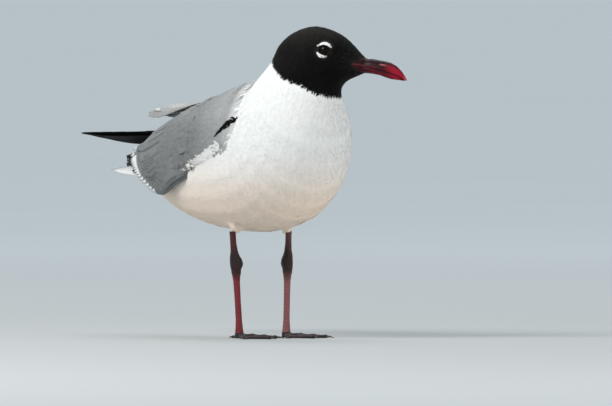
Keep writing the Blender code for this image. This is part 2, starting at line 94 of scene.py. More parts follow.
# %% [markdown]
# ## Camera
#
# A long lens far away keeps the bird's proportions true, as a bird watcher's lens does. The lens
# is worked out from the width that the picture takes in at the bird.

# %% Camera
AZIMUTH = math.radians(-34.0)
ELEVATION = math.radians(1.0)
DISTANCE = 14.0                     # m
SENSOR = 36.0                       # mm, the width of the camera's sensor
VIEW_WIDTH = 443.7 * MM             # m across the picture at the bird
AIM = BODY + Vector((25.9, -17.4, 97.9)) * MM


def in_scene(name, data):
    """A new object in the scene."""
    obj = bpy.data.objects.new(name, data)
    bpy.context.scene.collection.objects.link(obj)
    return obj


back = Vector((math.sin(AZIMUTH) * math.cos(ELEVATION),
               -math.cos(AZIMUTH) * math.cos(ELEVATION), math.sin(ELEVATION)))
lens = bpy.data.cameras.new("bird_lens")
lens.sensor_width = SENSOR
lens.lens = SENSOR * DISTANCE / VIEW_WIDTH
lens.clip_start, lens.clip_end = 0.1, 400.0
camera = in_scene("bird_camera", lens)
camera.location = AIM + back * DISTANCE
camera.rotation_mode = "QUATERNION"
camera.rotation_quaternion = (-back).to_track_quat("-Z", "Y")
bpy.context.scene.camera = camera
print("lens", round(lens.lens), "mm, camera height", round(camera.location.z, 3), "m")

# %% [markdown]
# ## Floor and light
#
# A pale floor that runs far out meets a background of nearly the same brightness, so the bird
# stands in plain space; close to the bird the paper is darker, and the feet stand on it clearly.
# One big soft lamp high on the left of the view does most of the work, because white plumage shows
# its feathers only where the light comes from one side. A weaker one opposite keeps the shaded
# side readable, and a third, above and behind, draws a bright line along the back. A material is
# a net of nodes: a small helper lets Python's own arithmetic tie them together.

# %% Arithmetic between nodes
class Wire:
    """A node's output. Python's operators on it add Math nodes."""

    def __init__(self, finish, socket):
        self.finish = finish
        self.socket = socket

    def _math(self, operation, *values):
        return self.finish.node("ShaderNodeMath", dict(enumerate(values)), operation=operation)

    def __add__(self, other):
        return self._math("ADD", self, other)

    def __sub__(self, other):
        return self._math("SUBTRACT", self, other)

    def __rsub__(self, other):
        return self._math("SUBTRACT", other, self)

    def __mul__(self, other):
        return self._math("MULTIPLY", self, other)

    def __pow__(self, other):
        return self._math("POWER", self, other)

    def sine(self):
        return self._math("SINE", self)

    def size(self):
        return self._math("ABSOLUTE", self)

    def held(self):
        """The value kept between 0 and 1."""
        return self.finish.node("ShaderNodeMath", {0: self, 1: 0.0}, operation="ADD", use_clamp=True)

    def ramp(self, low, high):
        """0 below low, 1 above high, smooth between."""
        return self.finish.node("ShaderNodeMapRange",
                                {"Value": self, "From Min": low, "From Max": high},
                                interpolation_type="SMOOTHSTEP")


print("a wire can also do:", ", ".join(name for name in vars(Wire) if name[0] != "_"))

# %% Materials
COLOUR_INPUTS = (6, 7)              # the two colour sockets of a Mix node
COLOUR_OUTPUT = 2                   # and its colour output


def opaque(colour):
    """A colour for a socket: a wire as it is, a plain colour with full opacity."""
    return colour if isinstance(colour, Wire) else (*colour, 1.0)


class Finish:
    """One material under construction."""

    def __init__(self, name, **constants):
        self.material = bpy.data.materials.new(name)
        self.material.use_nodes = True
        self.tree = self.material.node_tree
        self.shader = self.tree.nodes["Principled BSDF"]
        for socket, value in constants.items():
            self.shader.inputs[socket.replace("_", " ")].default_value = value

    def matt(self, level=0.2):
        """Dull the mirror-like part of the shine, as feather does."""
        self.shader.inputs["Specular IOR Level"].default_value = level
        return self

    def node(self, kind, inputs=None, output=0, **settings):
        """Add a node: its settings first, then the values or links of its sockets."""
        made = self.tree.nodes.new(kind)
        for key, value in settings.items():
            setattr(made, key, value)
        for key, value in (inputs or {}).items():
            if isinstance(value, Wire):
                self.tree.links.new(value.socket, made.inputs[key])
            else:
                made.inputs[key].default_value = value
        return Wire(self, made.outputs[output])

    def blend(self, factor, first, second, kind):
        """A Mix node for colours."""
        sockets = {0: factor, **dict(zip(COLOUR_INPUTS, (first, second)))}
        return self.node("ShaderNodeMix", sockets, COLOUR_OUTPUT, data_type="RGBA", blend_type=kind)

    def mix(self, factor, near, far):
        """Blend two colours."""
        return self.blend(factor, opaque(near), opaque(far), "MIX")

    def tone(self, colour, amount):
        """Make a colour brighter or darker by a number that varies."""
        grey = self.node("ShaderNodeCombineXYZ", {0: amount, 1: amount, 2: amount})
        return self.blend(1.0, opaque(colour), grey, "MULTIPLY")

    def attribute(self, name):
        """A number kept on the mesh."""
        return self.node("ShaderNodeAttribute", output="Fac", attribute_name=name)

    def place(self, axis=None):
        """Object coordinates in metres, or one of them."""
        whole = self.node("ShaderNodeTexCoord", output="Object")
        if axis is None:
            return whole
        return self.node("ShaderNodeSeparateXYZ", {0: whole}, axis)

    def vane(self, axis):
        """Place on one feather: 0 across from its left edge, 1 along from its root."""
        return self.node("ShaderNodeSeparateXYZ", {0: self.node("ShaderNodeUVMap", uv_map="vane")}, axis)

    def noise(self, scale, detail=3.0, vector=None):
        """Cloudy noise from 0 to 1."""
        return self.node("ShaderNodeTexNoise", {
            "Vector": vector or self.place(), "Scale": scale, "Detail": detail})

    def stretched(self, x, y, z):
        """Object coordinates stretched along the axes."""
        return self.node("ShaderNodeMapping", {"Vector": self.place(), "Scale": (x, y, z)})

    def set(self, socket, value):
        self.tree.links.new(value.socket, self.shader.inputs[socket])

    def bump(self, height, distance):
        """Relief without geometry; distance in metres."""
        self.set("Normal", self.node("ShaderNodeBump", {"Distance": distance, "Height": height}))


print("a finish can:", ", ".join(name for name in vars(Finish) if name[0] != "_"))

# %% Floor, lamps and background
def deselect():
    bpy.ops.object.select_all(action="DESELECT")


def shown_alone(obj):
    """Select one object and make it active."""
    deselect()
    obj.select_set(True)
    bpy.context.view_layer.objects.active = obj


SKY = (0.47, 0.53, 0.56)
PAPER_NEAR = (0.43, 0.44, 0.44)
PAPER_FAR = ((0.86, 0.87, 0.88), (0.90, 0.91, 0.92))
FLOOR_RADIUS = 200.0                # m
deselect()
bpy.ops.mesh.primitive_circle_add(vertices=96, radius=FLOOR_RADIUS, fill_type="NGON")
floor = bpy.context.active_object
floor.name = "studio_floor"
floor_finish = Finish("floor_paper", Roughness=0.9, Emission_Strength=0.12,
                      Emission_Color=(*SKY, 1.0)).matt(0.1)
grain = floor_finish.noise(3.0, 4.0)
paper = floor_finish.mix(grain, *PAPER_FAR)
far = (floor_finish.place(0) ** 2.0 + floor_finish.place(1) ** 2.0) ** 0.5
floor_finish.set("Base Color", floor_finish.mix(far.ramp(0.3, 3.6), PAPER_NEAR, paper))
floor.data.materials.append(floor_finish.material)

RIGHT = Vector((math.cos(AZIMUTH), math.sin(AZIMUTH), 0.0))
TOWARD = Vector((back.x, back.y, 0.0)).normalized()
UP = Vector((0.0, 0.0, 1.0))


def lamp(name, offset, size, power, colour):
    """A soft square lamp that faces the bird; offset and size in metres, power in watts."""
    light = bpy.data.lights.new(name, "AREA")
    light.size = size
    light.energy = power
    light.color = colour
    obj = in_scene(name, light)
    obj.location = AIM + offset
    obj.rotation_mode = "QUATERNION"
    obj.rotation_quaternion = offset.to_track_quat("Z", "Y")


lamp("key_lamp", -1.25 * RIGHT + 0.95 * TOWARD + 1.3 * UP, 0.8, 28.0, (1.0, 0.985, 0.96))
lamp("fill_lamp", 1.5 * RIGHT + 1.2 * TOWARD + 0.1 * UP, 1.2, 16.0, (1.0, 0.93, 0.86))
lamp("top_lamp", -0.8 * TOWARD + 1.7 * UP, 1.2, 12.0, (0.97, 0.98, 1.0))

world = bpy.data.worlds.new("soft_sky")
world.use_nodes = True
world.node_tree.nodes["Background"].inputs[0].default_value = (*SKY, 1.0)
bpy.context.scene.world = world
bpy.context.scene.view_settings.view_transform = "Standard"
print("three lamps and a floor")

# %% [markdown]
# ## Skin
#
# The solids of the head, neck, trunk and thighs meet with hairline gaps. Copies of them are
# joined, swollen a little so that they run into each other, and remeshed into one even surface,
# which is then smoothed and drawn in by the depth of the coat. A voxel remesh is the quickest way
# to turn several closed forms into one.

# %% Copies of solids and what is done to them
WELD = 1e-6                         # m, vertices closer than this become one


def mesh_object(name, work):
    """A new object from a finished bmesh."""
    mesh = bpy.data.meshes.new(name)
    work.to_mesh(mesh)
    work.free()
    return in_scene(name, mesh)


def merged_copy(name, *sources):
    """One new object with welded copies of some solids."""
    work = bmesh.new()
    for source in sources:
        work.from_mesh(nodes[source].data)
    bmesh.ops.remove_doubles(work, verts=work.verts, dist=WELD)
    return mesh_object(name, work)


def positions(obj):
    """Vertex places as an array."""
    count = len(obj.data.vertices)
    flat = np.empty(count * 3)
    obj.data.vertices.foreach_get("co", flat)
    return flat.reshape(count, 3)


def normals_of(obj):
    """Vertex normals as an array."""
    count = len(obj.data.vertices)
    flat = np.empty(count * 3, np.float32)
    obj.data.vertex_normals.foreach_get("vector", flat)
    return flat.reshape(count, 3).astype(float)


def move_to(obj, places):
    """Give the vertices new places."""
    obj.data.vertices.foreach_set("co", places.ravel())
    obj.data.update()


def swell(obj, amount):
    """Move the surface out along its normals; amount in metres, one or one per vertex."""
    amount = np.broadcast_to(np.asarray(amount, float), (len(obj.data.vertices),))
    move_to(obj, positions(obj) + normals_of(obj) * amount[:, None])


def apply_modifier(obj, kind, **settings):
    """Add a modifier with its settings and apply it."""
    modifier = obj.modifiers.new(kind.title(), kind)
    for key, value in settings.items():
        setattr(modifier, key, value)
    shown_alone(obj)
    bpy.ops.object.modifier_apply(modifier=modifier.name)


def even_surface(obj, voxel, smoothing):
    """Remesh into even quads and smooth them."""
    apply_modifier(obj, "REMESH", mode="VOXEL", voxel_size=voxel, use_smooth_shade=True)
    apply_modifier(obj, "SMOOTH", factor=0.5, iterations=smoothing)


def trim(obj, point, normal):
    """Cut an object at a plane, close the cut and keep the side that the normal points to."""
    shown_alone(obj)
    bpy.ops.object.mode_set(mode="EDIT")
    bpy.ops.mesh.select_all(action="SELECT")
    bpy.ops.mesh.bisect(plane_co=point, plane_no=normal, use_fill=True, clear_inner=True)
    bpy.ops.object.mode_set(mode="OBJECT")


def smooth_where(obj, weights, iterations):
    """Smooth the surface by a weight for each vertex, in tenths."""
    group = obj.vertex_groups.new(name="soft")
    for level in range(1, 11):
        chosen = np.nonzero(np.round(weights * 10) == level)[0]
        group.add(chosen.tolist(), level / 10, "REPLACE")
    apply_modifier(obj, "SMOOTH", factor=0.5, iterations=iterations, vertex_group="soft")
    obj.vertex_groups.clear()


print("the trunk's solid has", len(nodes["trunk"].data.polygons), "faces")

# %% Places on the bird
def head_places(places):
    """Places in the head's own axes, in mm."""
    flat = np.c_[places, np.ones(len(places))] @ np.array(to_head).T
    return flat[:, :3] / MM


def body_places(places):
    """Places in the body's axes, in mm."""
    return (places - np.array(BODY)) / MM


def smoothstep(low, high, value):
    share = np.clip((value - low) / (high - low), 0.0, 1.0)
    return share * share * (3 - 2 * share)


def read(table, at):
    """Read a table of two columns at one place or many."""
    return np.interp(at, *np.array(table).T)


def head_share(places):
    """0 on the trunk, 1 on the head."""
    return smoothstep(172.0, 186.0, places[:, 2] / MM)


print("eyes in head axes", head_places(np.array(list(EYES.values()))).round(1).tolist(), "mm")

# %% Surfaces to measure from
SAME_WAY = 0.6                      # least cosine between two normals that face the same way


class Surface:
    """A surface to measure from and to lay feathers on."""

    def __init__(self, *objects):
        corners = []
        faces = []
        for obj in objects:
            obj.data.calc_loop_triangles()
            faces += [[i + len(corners) for i in t.vertices] for t in obj.data.loop_triangles]
            corners += [Vector(p) for p in positions(obj)]
        self.tree = BVHTree.FromPolygons(corners, faces)

    def distance(self, places):
        """Distance from each place to the surface, in mm."""
        return np.array([self.tree.find_nearest(Vector(p))[3] for p in places]) / MM

    def outermost(self, places, normals, reach):
        """The places moved onto the surface, seen from outside, and its normals there, except
        where it is met edge on."""
        found = places.copy()
        facing = normals.copy()
        for i, (place, normal) in enumerate(zip(places, normals)):
            hit = self.tree.ray_cast(Vector(place + normal * reach), Vector(-normal), 2.2 * reach)
            if hit[0]:
                found[i] = hit[0]
                if hit[1].dot(Vector(normal)) > SAME_WAY:
                    facing[i] = hit[1]
        return found, facing

    def covers(self, places, normals, reach):
        """Whether the surface lies over each place, within reach along its normal."""
        return np.array([self.tree.ray_cast(Vector(p + n * 0.3 * MM), Vector(n), reach)[0] is not None
                         for p, n in zip(places, normals)])


slate_solids = Surface(*(nodes[n] for n in ("mantle", "right_wing_coverts", "left_wing_coverts")))


def slate_share(places):
    """1 where the slate feathers of the back and the wings grow, 0 on the white."""
    return 1 - smoothstep(1.6, 3.0, slate_solids.distance(places))


print("a wing's tip is", round(float(slate_solids.distance([middle("left_primaries")])[0])), "mm from them")

# %% Skin of the head, neck, trunk and thighs
COAT_DEPTH_BODY = 1.0 * MM
COAT_DEPTH_HEAD = 0.6 * MM
SWELL = 0.45 * MM
SKIN_END = 60.0                     # mm ahead, the skin ends here inside the horn of the bill
BILL_BASE = 55.6                    # mm ahead, the flat rear of the bill's solids
BILL_ROOT = 6.0                     # mm that it is drawn back into the head
SKIN_NODES = ("head", "neck", "trunk", "right_thigh", "left_thigh", "mantle",
              "right_wing_coverts", "left_wing_coverts")


def root_bill(obj):
    """Let the flat rear of the bill reach back into the head, so that no groove is left."""
    places = positions(obj)
    base = np.abs(-head_places(places)[:, 1] - BILL_BASE) < 0.15
    places[base] -= BILL_ROOT * MM * np.array(HEAD_AHEAD)
    move_to(obj, places)


skin = merged_copy("skin", *SKIN_NODES, "upper_bill", "lower_bill")
root_bill(skin)
swell(skin, SWELL)
even_surface(skin, 1.2 * MM, 8)

# The trunk is smoothed most, except along the closed wings.
at = positions(skin)
weights = (1 - head_share(at)) * smoothstep(88.0, 97.0, at[:, 2] / MM)
weights *= 1 - slate_share(at) * smoothstep(4.0, 26.0, body_places(at)[:, 1])
smooth_where(skin, weights, 26)

# The step where mantle and coverts begin is smoothed away at the front of the wings.
at = positions(skin)
weights = (1 - smoothstep(6.0, 12.0, slate_solids.distance(at))) * (
    1 - smoothstep(0.0, 14.0, body_places(at)[:, 1]))
smooth_where(skin, weights, 50)

# The coat is deeper on the body than on the head, and deepest on the slate and round the thighs.
at = positions(skin)
share = head_share(at)
depth = COAT_DEPTH_BODY * (1 - share) + COAT_DEPTH_HEAD * share
depth += 0.4 * MM * slate_share(at) + 0.7 * MM * (1 - smoothstep(79.0, 86.0, at[:, 2] / MM))
swell(skin, -(SWELL + depth))
trim(skin, from_head @ Vector((0.0, -SKIN_END * MM, 0.2)), -HEAD_AHEAD)
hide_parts(*SKIN_NODES)
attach(skin, "root")
print("skin", len(skin.data.polygons), "faces")

# %% [markdown]
# ## Eyes and lids
#
# A gull's eye is a large ball, of which only a round window shows. The ball is a fine sphere with
# a clear, wet surface. The lid is a ring that hugs it: its section is drawn once, as a small closed
# loop, and spun round the line of sight. It is joined to the skin, because it is skin.

# %% Eyes
EYE_RADIUS = 5.2 * MM
WINDOW = 0.86                       # the clear window starts at this share of the radius
SIGHT = {side: (head_turn @ Vector((sign, -0.10, 0.12))).normalized() for side, sign in SIDES.items()}


def set_in_head(obj, side):
    """Turn an object modelled along Z to the line of sight of one eye, and move it there."""
    turn = SIGHT[side].to_track_quat("Z", "Y").to_matrix().to_4x4()
    obj.data.transform(Matrix.Translation(EYES[side]) @ turn)


eye_finish = Finish("wet_eye", Roughness=0.10, IOR=1.38).matt(0.18)
deep = eye_finish.noise(900.0, 2.0)
eye_finish.set("Base Color", eye_finish.mix(deep, (0.0022, 0.0008, 0.0008), (0.006, 0.0015, 0.0012)))

for side in SIDES:
    deselect()
    bpy.ops.mesh.primitive_uv_sphere_add(segments=48, ring_count=32, radius=EYE_RADIUS, calc_uvs=False)
    eye = bpy.context.active_object
    eye.name = f"{side}_eyeball"
    bpy.ops.object.mode_set(mode="EDIT")
    bpy.ops.mesh.select_all(action="DESELECT")
    work = bmesh.from_edit_mesh(eye.data)
    for vertex in work.verts:
        vertex.select = vertex.co.z > WINDOW * EYE_RADIUS
    work.select_flush(True)
    bmesh.update_edit_mesh(eye.data)
    bpy.ops.transform.resize(value=(1.0, 1.0, 1.02), center_override=(0.0, 0.0, 0.0))
    bpy.ops.object.mode_set(mode="OBJECT")
    bpy.ops.object.shade_smooth()
    set_in_head(eye, side)
    eye.data.materials.append(eye_finish.material)
    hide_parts(f"{side}_eye")
    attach(eye, "root")
print("two eyes, radius", EYE_RADIUS / MM, "mm")

# %% Lids
# Section of the lid: distance from the line of sight and height towards the onlooker, mm.
LID = ((3.55, 3.93), (3.60, 4.22), (3.80, 4.45), (4.15, 4.38), (4.8, 3.85), (5.6, 3.05),
       (6.6, 2.15), (7.7, 1.25), (8.1, 0.4), (7.3, 0.3), (6.2, 1.0), (5.4, 1.6), (4.7, 2.55),
       (4.1, 3.35))


def lid_ring(side):
    """A ring of lid round one eye."""
    deselect()
    bpy.ops.mesh.primitive_circle_add(vertices=len(LID), radius=MM)
    ring = bpy.context.active_object
    ring.name = f"{side}_lid"
    bpy.ops.object.mode_set(mode="EDIT")
    work = bmesh.from_edit_mesh(ring.data)
    for vertex, (reach, height) in zip(work.verts, LID):
        vertex.co = (reach * MM, 0.0, height * MM)
    bmesh.update_edit_mesh(ring.data)
    bpy.ops.mesh.select_all(action="SELECT")
    bpy.ops.mesh.spin(steps=48, angle=2 * math.pi, center=(0.0, 0.0, 0.0), axis=(0.0, 0.0, 1.0))
    bpy.ops.mesh.select_all(action="SELECT")
    bpy.ops.mesh.remove_doubles(threshold=WELD)
    bpy.ops.mesh.normals_make_consistent(inside=False)
    bpy.ops.object.mode_set(mode="OBJECT")
    faces = []                      # spin leaves its faces in an order that changes: sort them
    for face in ring.data.polygons:
        corners = list(face.vertices)
        start = corners.index(min(corners))
        faces.append(corners[start:] + corners[:start])
    places = [vertex.co[:] for vertex in ring.data.vertices]
    ring.data.clear_geometry()
    ring.data.from_pydata(places, [], sorted(faces))
    shown_alone(ring)
    bpy.ops.object.shade_smooth()
    set_in_head(ring, side)
    return ring


def join(obj, *others):
    """Make other objects part of one."""
    shown_alone(obj)
    for other in others:
        other.select_set(True)
    bpy.ops.object.join()


join(skin, *[lid_ring(side) for side in SIDES])
print("skin with lids", len(skin.data.polygons), "faces")

# %% [markdown]
# ## Markings
#
# A laughing gull in spring has a black hood, a white neck and underside, a slate mantle and black
# wing tips. The edges of these fields are functions of place, so that the skin and the feathers
# on it ask the same question and get the same answer.

# %% Edge of the hood
# Lower edge of the hood in head axes: distance in front of the turn line, height (mm).
HOOD_EDGE = ((-22.0, 210.0), (-15.0, 204.5), (-7.0, 196.5), (4.0, 188.5), (16.0, 183.8), (23.0, 180.2),
             (29.0, 176.6), (33.0, 175.4), (42.0, 176.0))


def ripple(places, size):
    """Smooth irregular numbers between about -1 and 1."""
    q = places / size
    first = np.sin(q[:, 0] * 1.3 + 2.1 * np.sin(q[:, 1] * 0.9))
    second = np.sin(q[:, 1] * 1.7 + 1.7 * np.sin(q[:, 2] * 1.1) + 2.0)
    third = np.sin(q[:, 2] * 1.5 + 1.9 * np.sin(q[:, 0] * 1.2) + 4.0)
    return (first + second + third) / 3


def over_hood_edge(at):
    """How far above the hood's uneven lower edge, in mm; places in head axes."""
    return at[:, 2] - read(HOOD_EDGE, -at[:, 1]) + 1.2 * ripple(at, 3.0)


def hood_share(places):
    """1 on the hood, 0 on the white neck."""
    return smoothstep(-0.8, 0.8, over_hood_edge(head_places(places)))


def give_attribute(obj, name, values):
    """Keep a number at each vertex."""
    layer = obj.data.attributes.new(name, "FLOAT", "POINT")
    layer.data.foreach_set("value", np.asarray(values, np.float32))


give_attribute(skin, "hood", hood_share(positions(skin)))
print("hood covers", round(100 * float(hood_share(positions(skin)).mean())), "% of the skin")

# %% Lids and crescents
LID_REACH = (5.7, 6.2)              # mm from the eye's middle, where the bare lid gives way to feathers


def from_eye(places):
    """Distance from the nearer eye's middle, in mm."""
    return np.min([np.linalg.norm(places - np.array(c), axis=1) for c in EYES.values()], axis=0) / MM


def eye_axes(side):
    """Directions ahead and up round the line of sight of one eye."""
    sight = SIGHT[side]
    return [(v - sight * v.dot(sight)).normalized() for v in (HEAD_AHEAD, Vector((0.0, 0.0, 1.0)))]


# Middle and half of the arc of each white crescent, degrees up from straight ahead, and the
# distance of its inner and outer edge from the line of sight (mm).
CRESCENTS = ((84.0, 62.0, 3.95, 5.9), (-111.0, 54.0, 3.6, 5.15))


def crescent_share(places):
    """1 on the white crescents above and below each eye."""
    found = np.zeros(len(places))
    for side in EYES:
        ahead, over = (np.array(v) for v in eye_axes(side))
        out = (places - np.array(EYES[side])) / MM
        near = np.linalg.norm(out, axis=1) < 8.0
        x, z = out @ ahead, out @ over
        reach, angle = np.hypot(x, z), np.degrees(np.arctan2(z, x))
        for centre, half, inner, outer in CRESCENTS:
            q = ((angle - centre + 180.0) % 360.0 - 180.0) / half
            inside = np.minimum(reach - inner - 1.4 * q * q, outer - 0.2 * q * q - reach)
            found = np.maximum(found, near * (np.abs(q) < 1.0) * smoothstep(-0.1, 0.1, inside))
    return found


give_attribute(skin, "bare", 1 - smoothstep(*LID_REACH, from_eye(positions(skin))))
give_attribute(skin, "crescent", crescent_share(positions(skin)))
print(int((crescent_share(positions(skin)) > 0.5).sum()), "places of the skin are on the crescents")

# %% Colours of the skin
def highness(places):
    """0 low on the belly, where warm light thrown up from below is painted in, 1 on the white of the neck
    and the upper breast.
    """
    return smoothstep(88, 140, places[:, 2] / MM)


give_attribute(skin, "high", highness(positions(skin)))

WHITE = (0.86, 0.86, 0.85)
WARM_BOUNCE_WHITE = (0.93, 0.77, 0.64)
HOOD_BLACK = (0.0026, 0.0024, 0.0024)
HOOD_BROWN = (0.019, 0.0165, 0.0145)
LID_RED = (0.012, 0.004, 0.004)
GREY = (0.178, 0.182, 0.184)
GREY_DARK = (0.105, 0.108, 0.110)

skin_finish = Finish("plumage_ground", Roughness=0.85).matt()
cloud = skin_finish.noise(120.0, 3.0)
# Low on the body the ground is warmer: painted warm light thrown up from below.
low = (1 - skin_finish.attribute("high")) * (cloud * 0.2 + 0.9)
ground = skin_finish.mix(low.held(), WHITE, WARM_BOUNCE_WHITE)
ground = skin_finish.mix(skin_finish.attribute("hood"), ground,
                         skin_finish.mix(cloud, HOOD_BLACK, HOOD_BROWN))
ground = skin_finish.mix(skin_finish.attribute("slate"), ground,
                         skin_finish.mix(skin_finish.attribute("pale"), GREY, WHITE))
ground = skin_finish.mix(skin_finish.attribute("bare"), ground, LID_RED)
skin_finish.set("Base Color", skin_finish.mix(skin_finish.attribute("crescent"), ground, WHITE))
skin_finish.bump(skin_finish.noise(1500.0, 2.0), 0.3 * MM)
skin.data.materials.clear()
skin.data.materials.append(skin_finish.material)
print("the skin is painted with", len(skin_finish.tree.nodes), "nodes")

# %% [markdown]
# ## The lie of the plumage
#
# Feathers point from the bill to the tail. A middle line is drawn through the bird, from the
# bill through the head, down the neck and back through the trunk, and every place on the skin
# takes its direction from the nearest stretch of it. The same line gives a simple unwrap of the
# body: how far along it, and how far round it.

# %% Middle line and directions
BODY_LINE = ((0, 175, 117), (0, 145, 118), (0, 115, 120), (0, 85, 122), (0, 55, 126),
             (0, 25, 129), (0, -5, 131), (0, -28, 138), (0, -44, 153), (0, -49, 170))
HEAD_LINE = ((0, -9, 186), (0, -20, 199), (0, -34, 205), (0, -47, 202), (0, -58, 198),
             (0, -85, 192))

BLEND = 17 * MM                     # stretches of the line this near to each other share a place


def unit(vectors):
    """Vectors of length one."""
    return vectors / np.maximum(np.linalg.norm(vectors, axis=1), 1e-12)[:, None]


def steps_of(points):
    """Distance along a line at each of its points."""
    return np.concatenate(([0.0], np.cumsum(np.linalg.norm(np.diff(points, axis=0), axis=1))))


def between(at, stops, vectors):
    """Vectors at places along a row of stops."""
    return np.c_[[np.interp(at, stops, vectors[:, i]) for i in range(3)]].T


def laid_flat(flow, normals):
    """A direction pressed flat onto the surface."""
    return unit(flow - normals * (flow * normals).sum(axis=1)[:, None])


knots = [BODY + Vector(p) * MM for p in BODY_LINE]
knots += [from_head @ (Vector(p) * MM) for p in HEAD_LINE]
knots = np.array(knots)
fine = np.linspace(0.0, steps_of(knots)[-1], 90)
line = between(fine, steps_of(knots), knots)
for _ in range(14):
    line[1:-1] = (line[:-2] + 2 * line[1:-1] + line[2:]) / 4
tailward = unit(-np.gradient(line, axis=0))
print("middle line", round(fine[-1] * 1000), "mm long")

# %% The lie and the unwrap
def lie_of(places, normals, droop=0.0):
    """Direction of the feathers at places on the surface, and the place along the middle line."""
    gaps = ((places[:, None, :] - line[None]) ** 2).sum(axis=2)
    weights = np.exp(-(gaps - gaps.min(axis=1)[:, None]) / BLEND ** 2)
    weights /= weights.sum(axis=1)[:, None]
    flow = weights @ tailward + np.array((0.0, 0.0, -droop))
    return laid_flat(flow, normals), weights @ fine, weights @ line


def unwrap(places):
    """Place on the unwrapped body: along the middle line and round it, both from 0 to 1."""
    _, along, centre = lie_of(places, np.zeros_like(places))
    out = places - centre
    turn = HEAD_TURN * head_share(places)
    across = out[:, 0] * np.cos(turn) + out[:, 1] * np.sin(turn)
    upright = np.abs(np.gradient(line[:, 2]) / np.gradient(steps_of(line)))
    lean = np.interp(along, fine, upright)
    ahead = out[:, 0] * np.sin(turn) - out[:, 1] * np.cos(turn)
    rise = out[:, 2] * (1 - lean) - ahead * lean
    return np.c_[0.02 + 0.96 * along / fine[-1], 0.5 + np.arctan2(across, rise) / (2.02 * math.pi)]


print("the left eye is at", unwrap(np.array([EYES["left"]])).round(2)[0], "on the unwrap")

# %% [markdown]
# ## Patterns for the feathers
#
# Four feathers are modelled once, lying flat with the root at the origin and the tip one unit
# along Y, and are then copied thousands of times. The soft ones are fans of tapered barbs, because
# down-edged body feathers have no hard outline. The tile and the blade are grids whose rows are
# scaled to the outline of a vane, and whose columns are lowered towards the edges, so that each
# feather is a shallow roof.

# %% Grids that become feathers
def select_where(obj, test):
    """Select the vertices that pass a test; edit mode."""
    work = bmesh.from_edit_mesh(obj.data)
    for vertex in work.verts:
        vertex.select = test(vertex.co)
    work.select_flush_mode()
    bmesh.update_edit_mesh(obj.data)


def flat_grid(name, columns, rows):
    """A unit grid from the origin along Y, open in edit mode with vertex selection."""
    deselect()
    bpy.ops.mesh.primitive_grid_add(x_subdivisions=columns, y_subdivisions=rows, size=1.0)
    obj = bpy.context.active_object
    obj.name = name
    bpy.ops.object.mode_set(mode="EDIT")
    bpy.ops.mesh.select_mode(type="VERT")
    bpy.ops.mesh.select_all(action="SELECT")
    bpy.ops.transform.translate(value=(0.0, 0.5, 0.0))
    return obj


def scale_rows(obj, rows, outline):
    """Scale each row of a grid to the outline's width there."""
    for i in range(rows + 1):
        y = i / rows
        width = float(read(outline, y))
        select_where(obj, lambda co: abs(co.y - y) < 0.2 / rows)
        bpy.ops.transform.resize(value=(width, 1.0, 1.0), center_override=(0.0, y, 0.0))


def pattern_of(obj):
    """Points and triangles of a finished pattern; its object is deleted."""
    bpy.ops.mesh.select_all(action="SELECT")
    bpy.ops.mesh.remove_doubles(threshold=1e-4)
    bpy.ops.mesh.quads_convert_to_tris()
    bpy.ops.object.mode_set(mode="OBJECT")
    points = positions(obj)
    corners = np.array([list(face.vertices) for face in obj.data.polygons])
    bpy.data.objects.remove(obj, do_unlink=True)
    return points, corners


print("a grid of 4 by 6 has", len(pattern_of(flat_grid("trial", 4, 6))[1]), "triangles")

# %% Soft feathers and velvet
BARB = ((0.0, 0.06), (0.34, 0.13), (0.67, 0.09), (1.0, 0.0))
SHORT_BARB = ((0.0, 0.12), (0.5, 0.26), (1.0, 0.0))


def barb_fan(name, barbs, rows, spread, outline):
    """A fan of tapered barbs from one root, spread in degrees; the outer ones are shorter."""
    obj = flat_grid(name, 1, rows)
    scale_rows(obj, rows, outline)
    strip = (rows + 1) * 2
    for k in range(barbs):
        turn = spread * (2 * k / (barbs - 1) - 1)
        if abs(turn) < 1e-6:
            continue
        work = bmesh.from_edit_mesh(obj.data)
        work.verts.ensure_lookup_table()
        for vertex in work.verts:
            vertex.select = vertex.index < strip
        work.select_flush_mode()
        bmesh.update_edit_mesh(obj.data)
        bpy.ops.mesh.duplicate()
        length = 1.0 - 0.2 * abs(turn / spread) ** 1.5
        bpy.ops.transform.resize(value=(1.0, length, 1.0), center_override=(0.0, 0.0, 0.0))
        bpy.ops.transform.rotate(value=math.radians(turn), orient_axis="Z",
                                 center_override=(0.0, 0.0, 0.0))
        bpy.ops.transform.translate(value=(0.0, 0.0, -0.03 * abs(turn / spread)))
    points, corners = pattern_of(obj)
    points[:, 0] *= 0.5 / np.abs(points[:, 0]).max()
    points[:, 1] = np.maximum(points[:, 1], 0.0)
    return points, corners


SOFT = barb_fan("soft_pattern", 7, 3, 12.0, BARB)
VELVET = barb_fan("velvet_pattern", 4, 2, 20.0, SHORT_BARB)
print("soft", len(SOFT[1]), "triangles, velvet", len(VELVET[1]), "triangles")

# %% Tile and blade
TILE_OUTLINE = ((0.0, 0.45), (0.2, 0.8), (0.5, 1.0), (0.7, 0.98), (0.85, 0.82), (0.95, 0.5), (1.0, 0.2))
BLADE_OUTLINE = ((0.0, 0.35), (0.15, 0.75), (0.4, 1.0), (0.75, 0.97), (0.88, 0.82), (0.95, 0.6),
                 (0.985, 0.36), (1.0, 0.14))
SWEEP = 0.10                        # how far the edges lie behind the shaft, in lengths


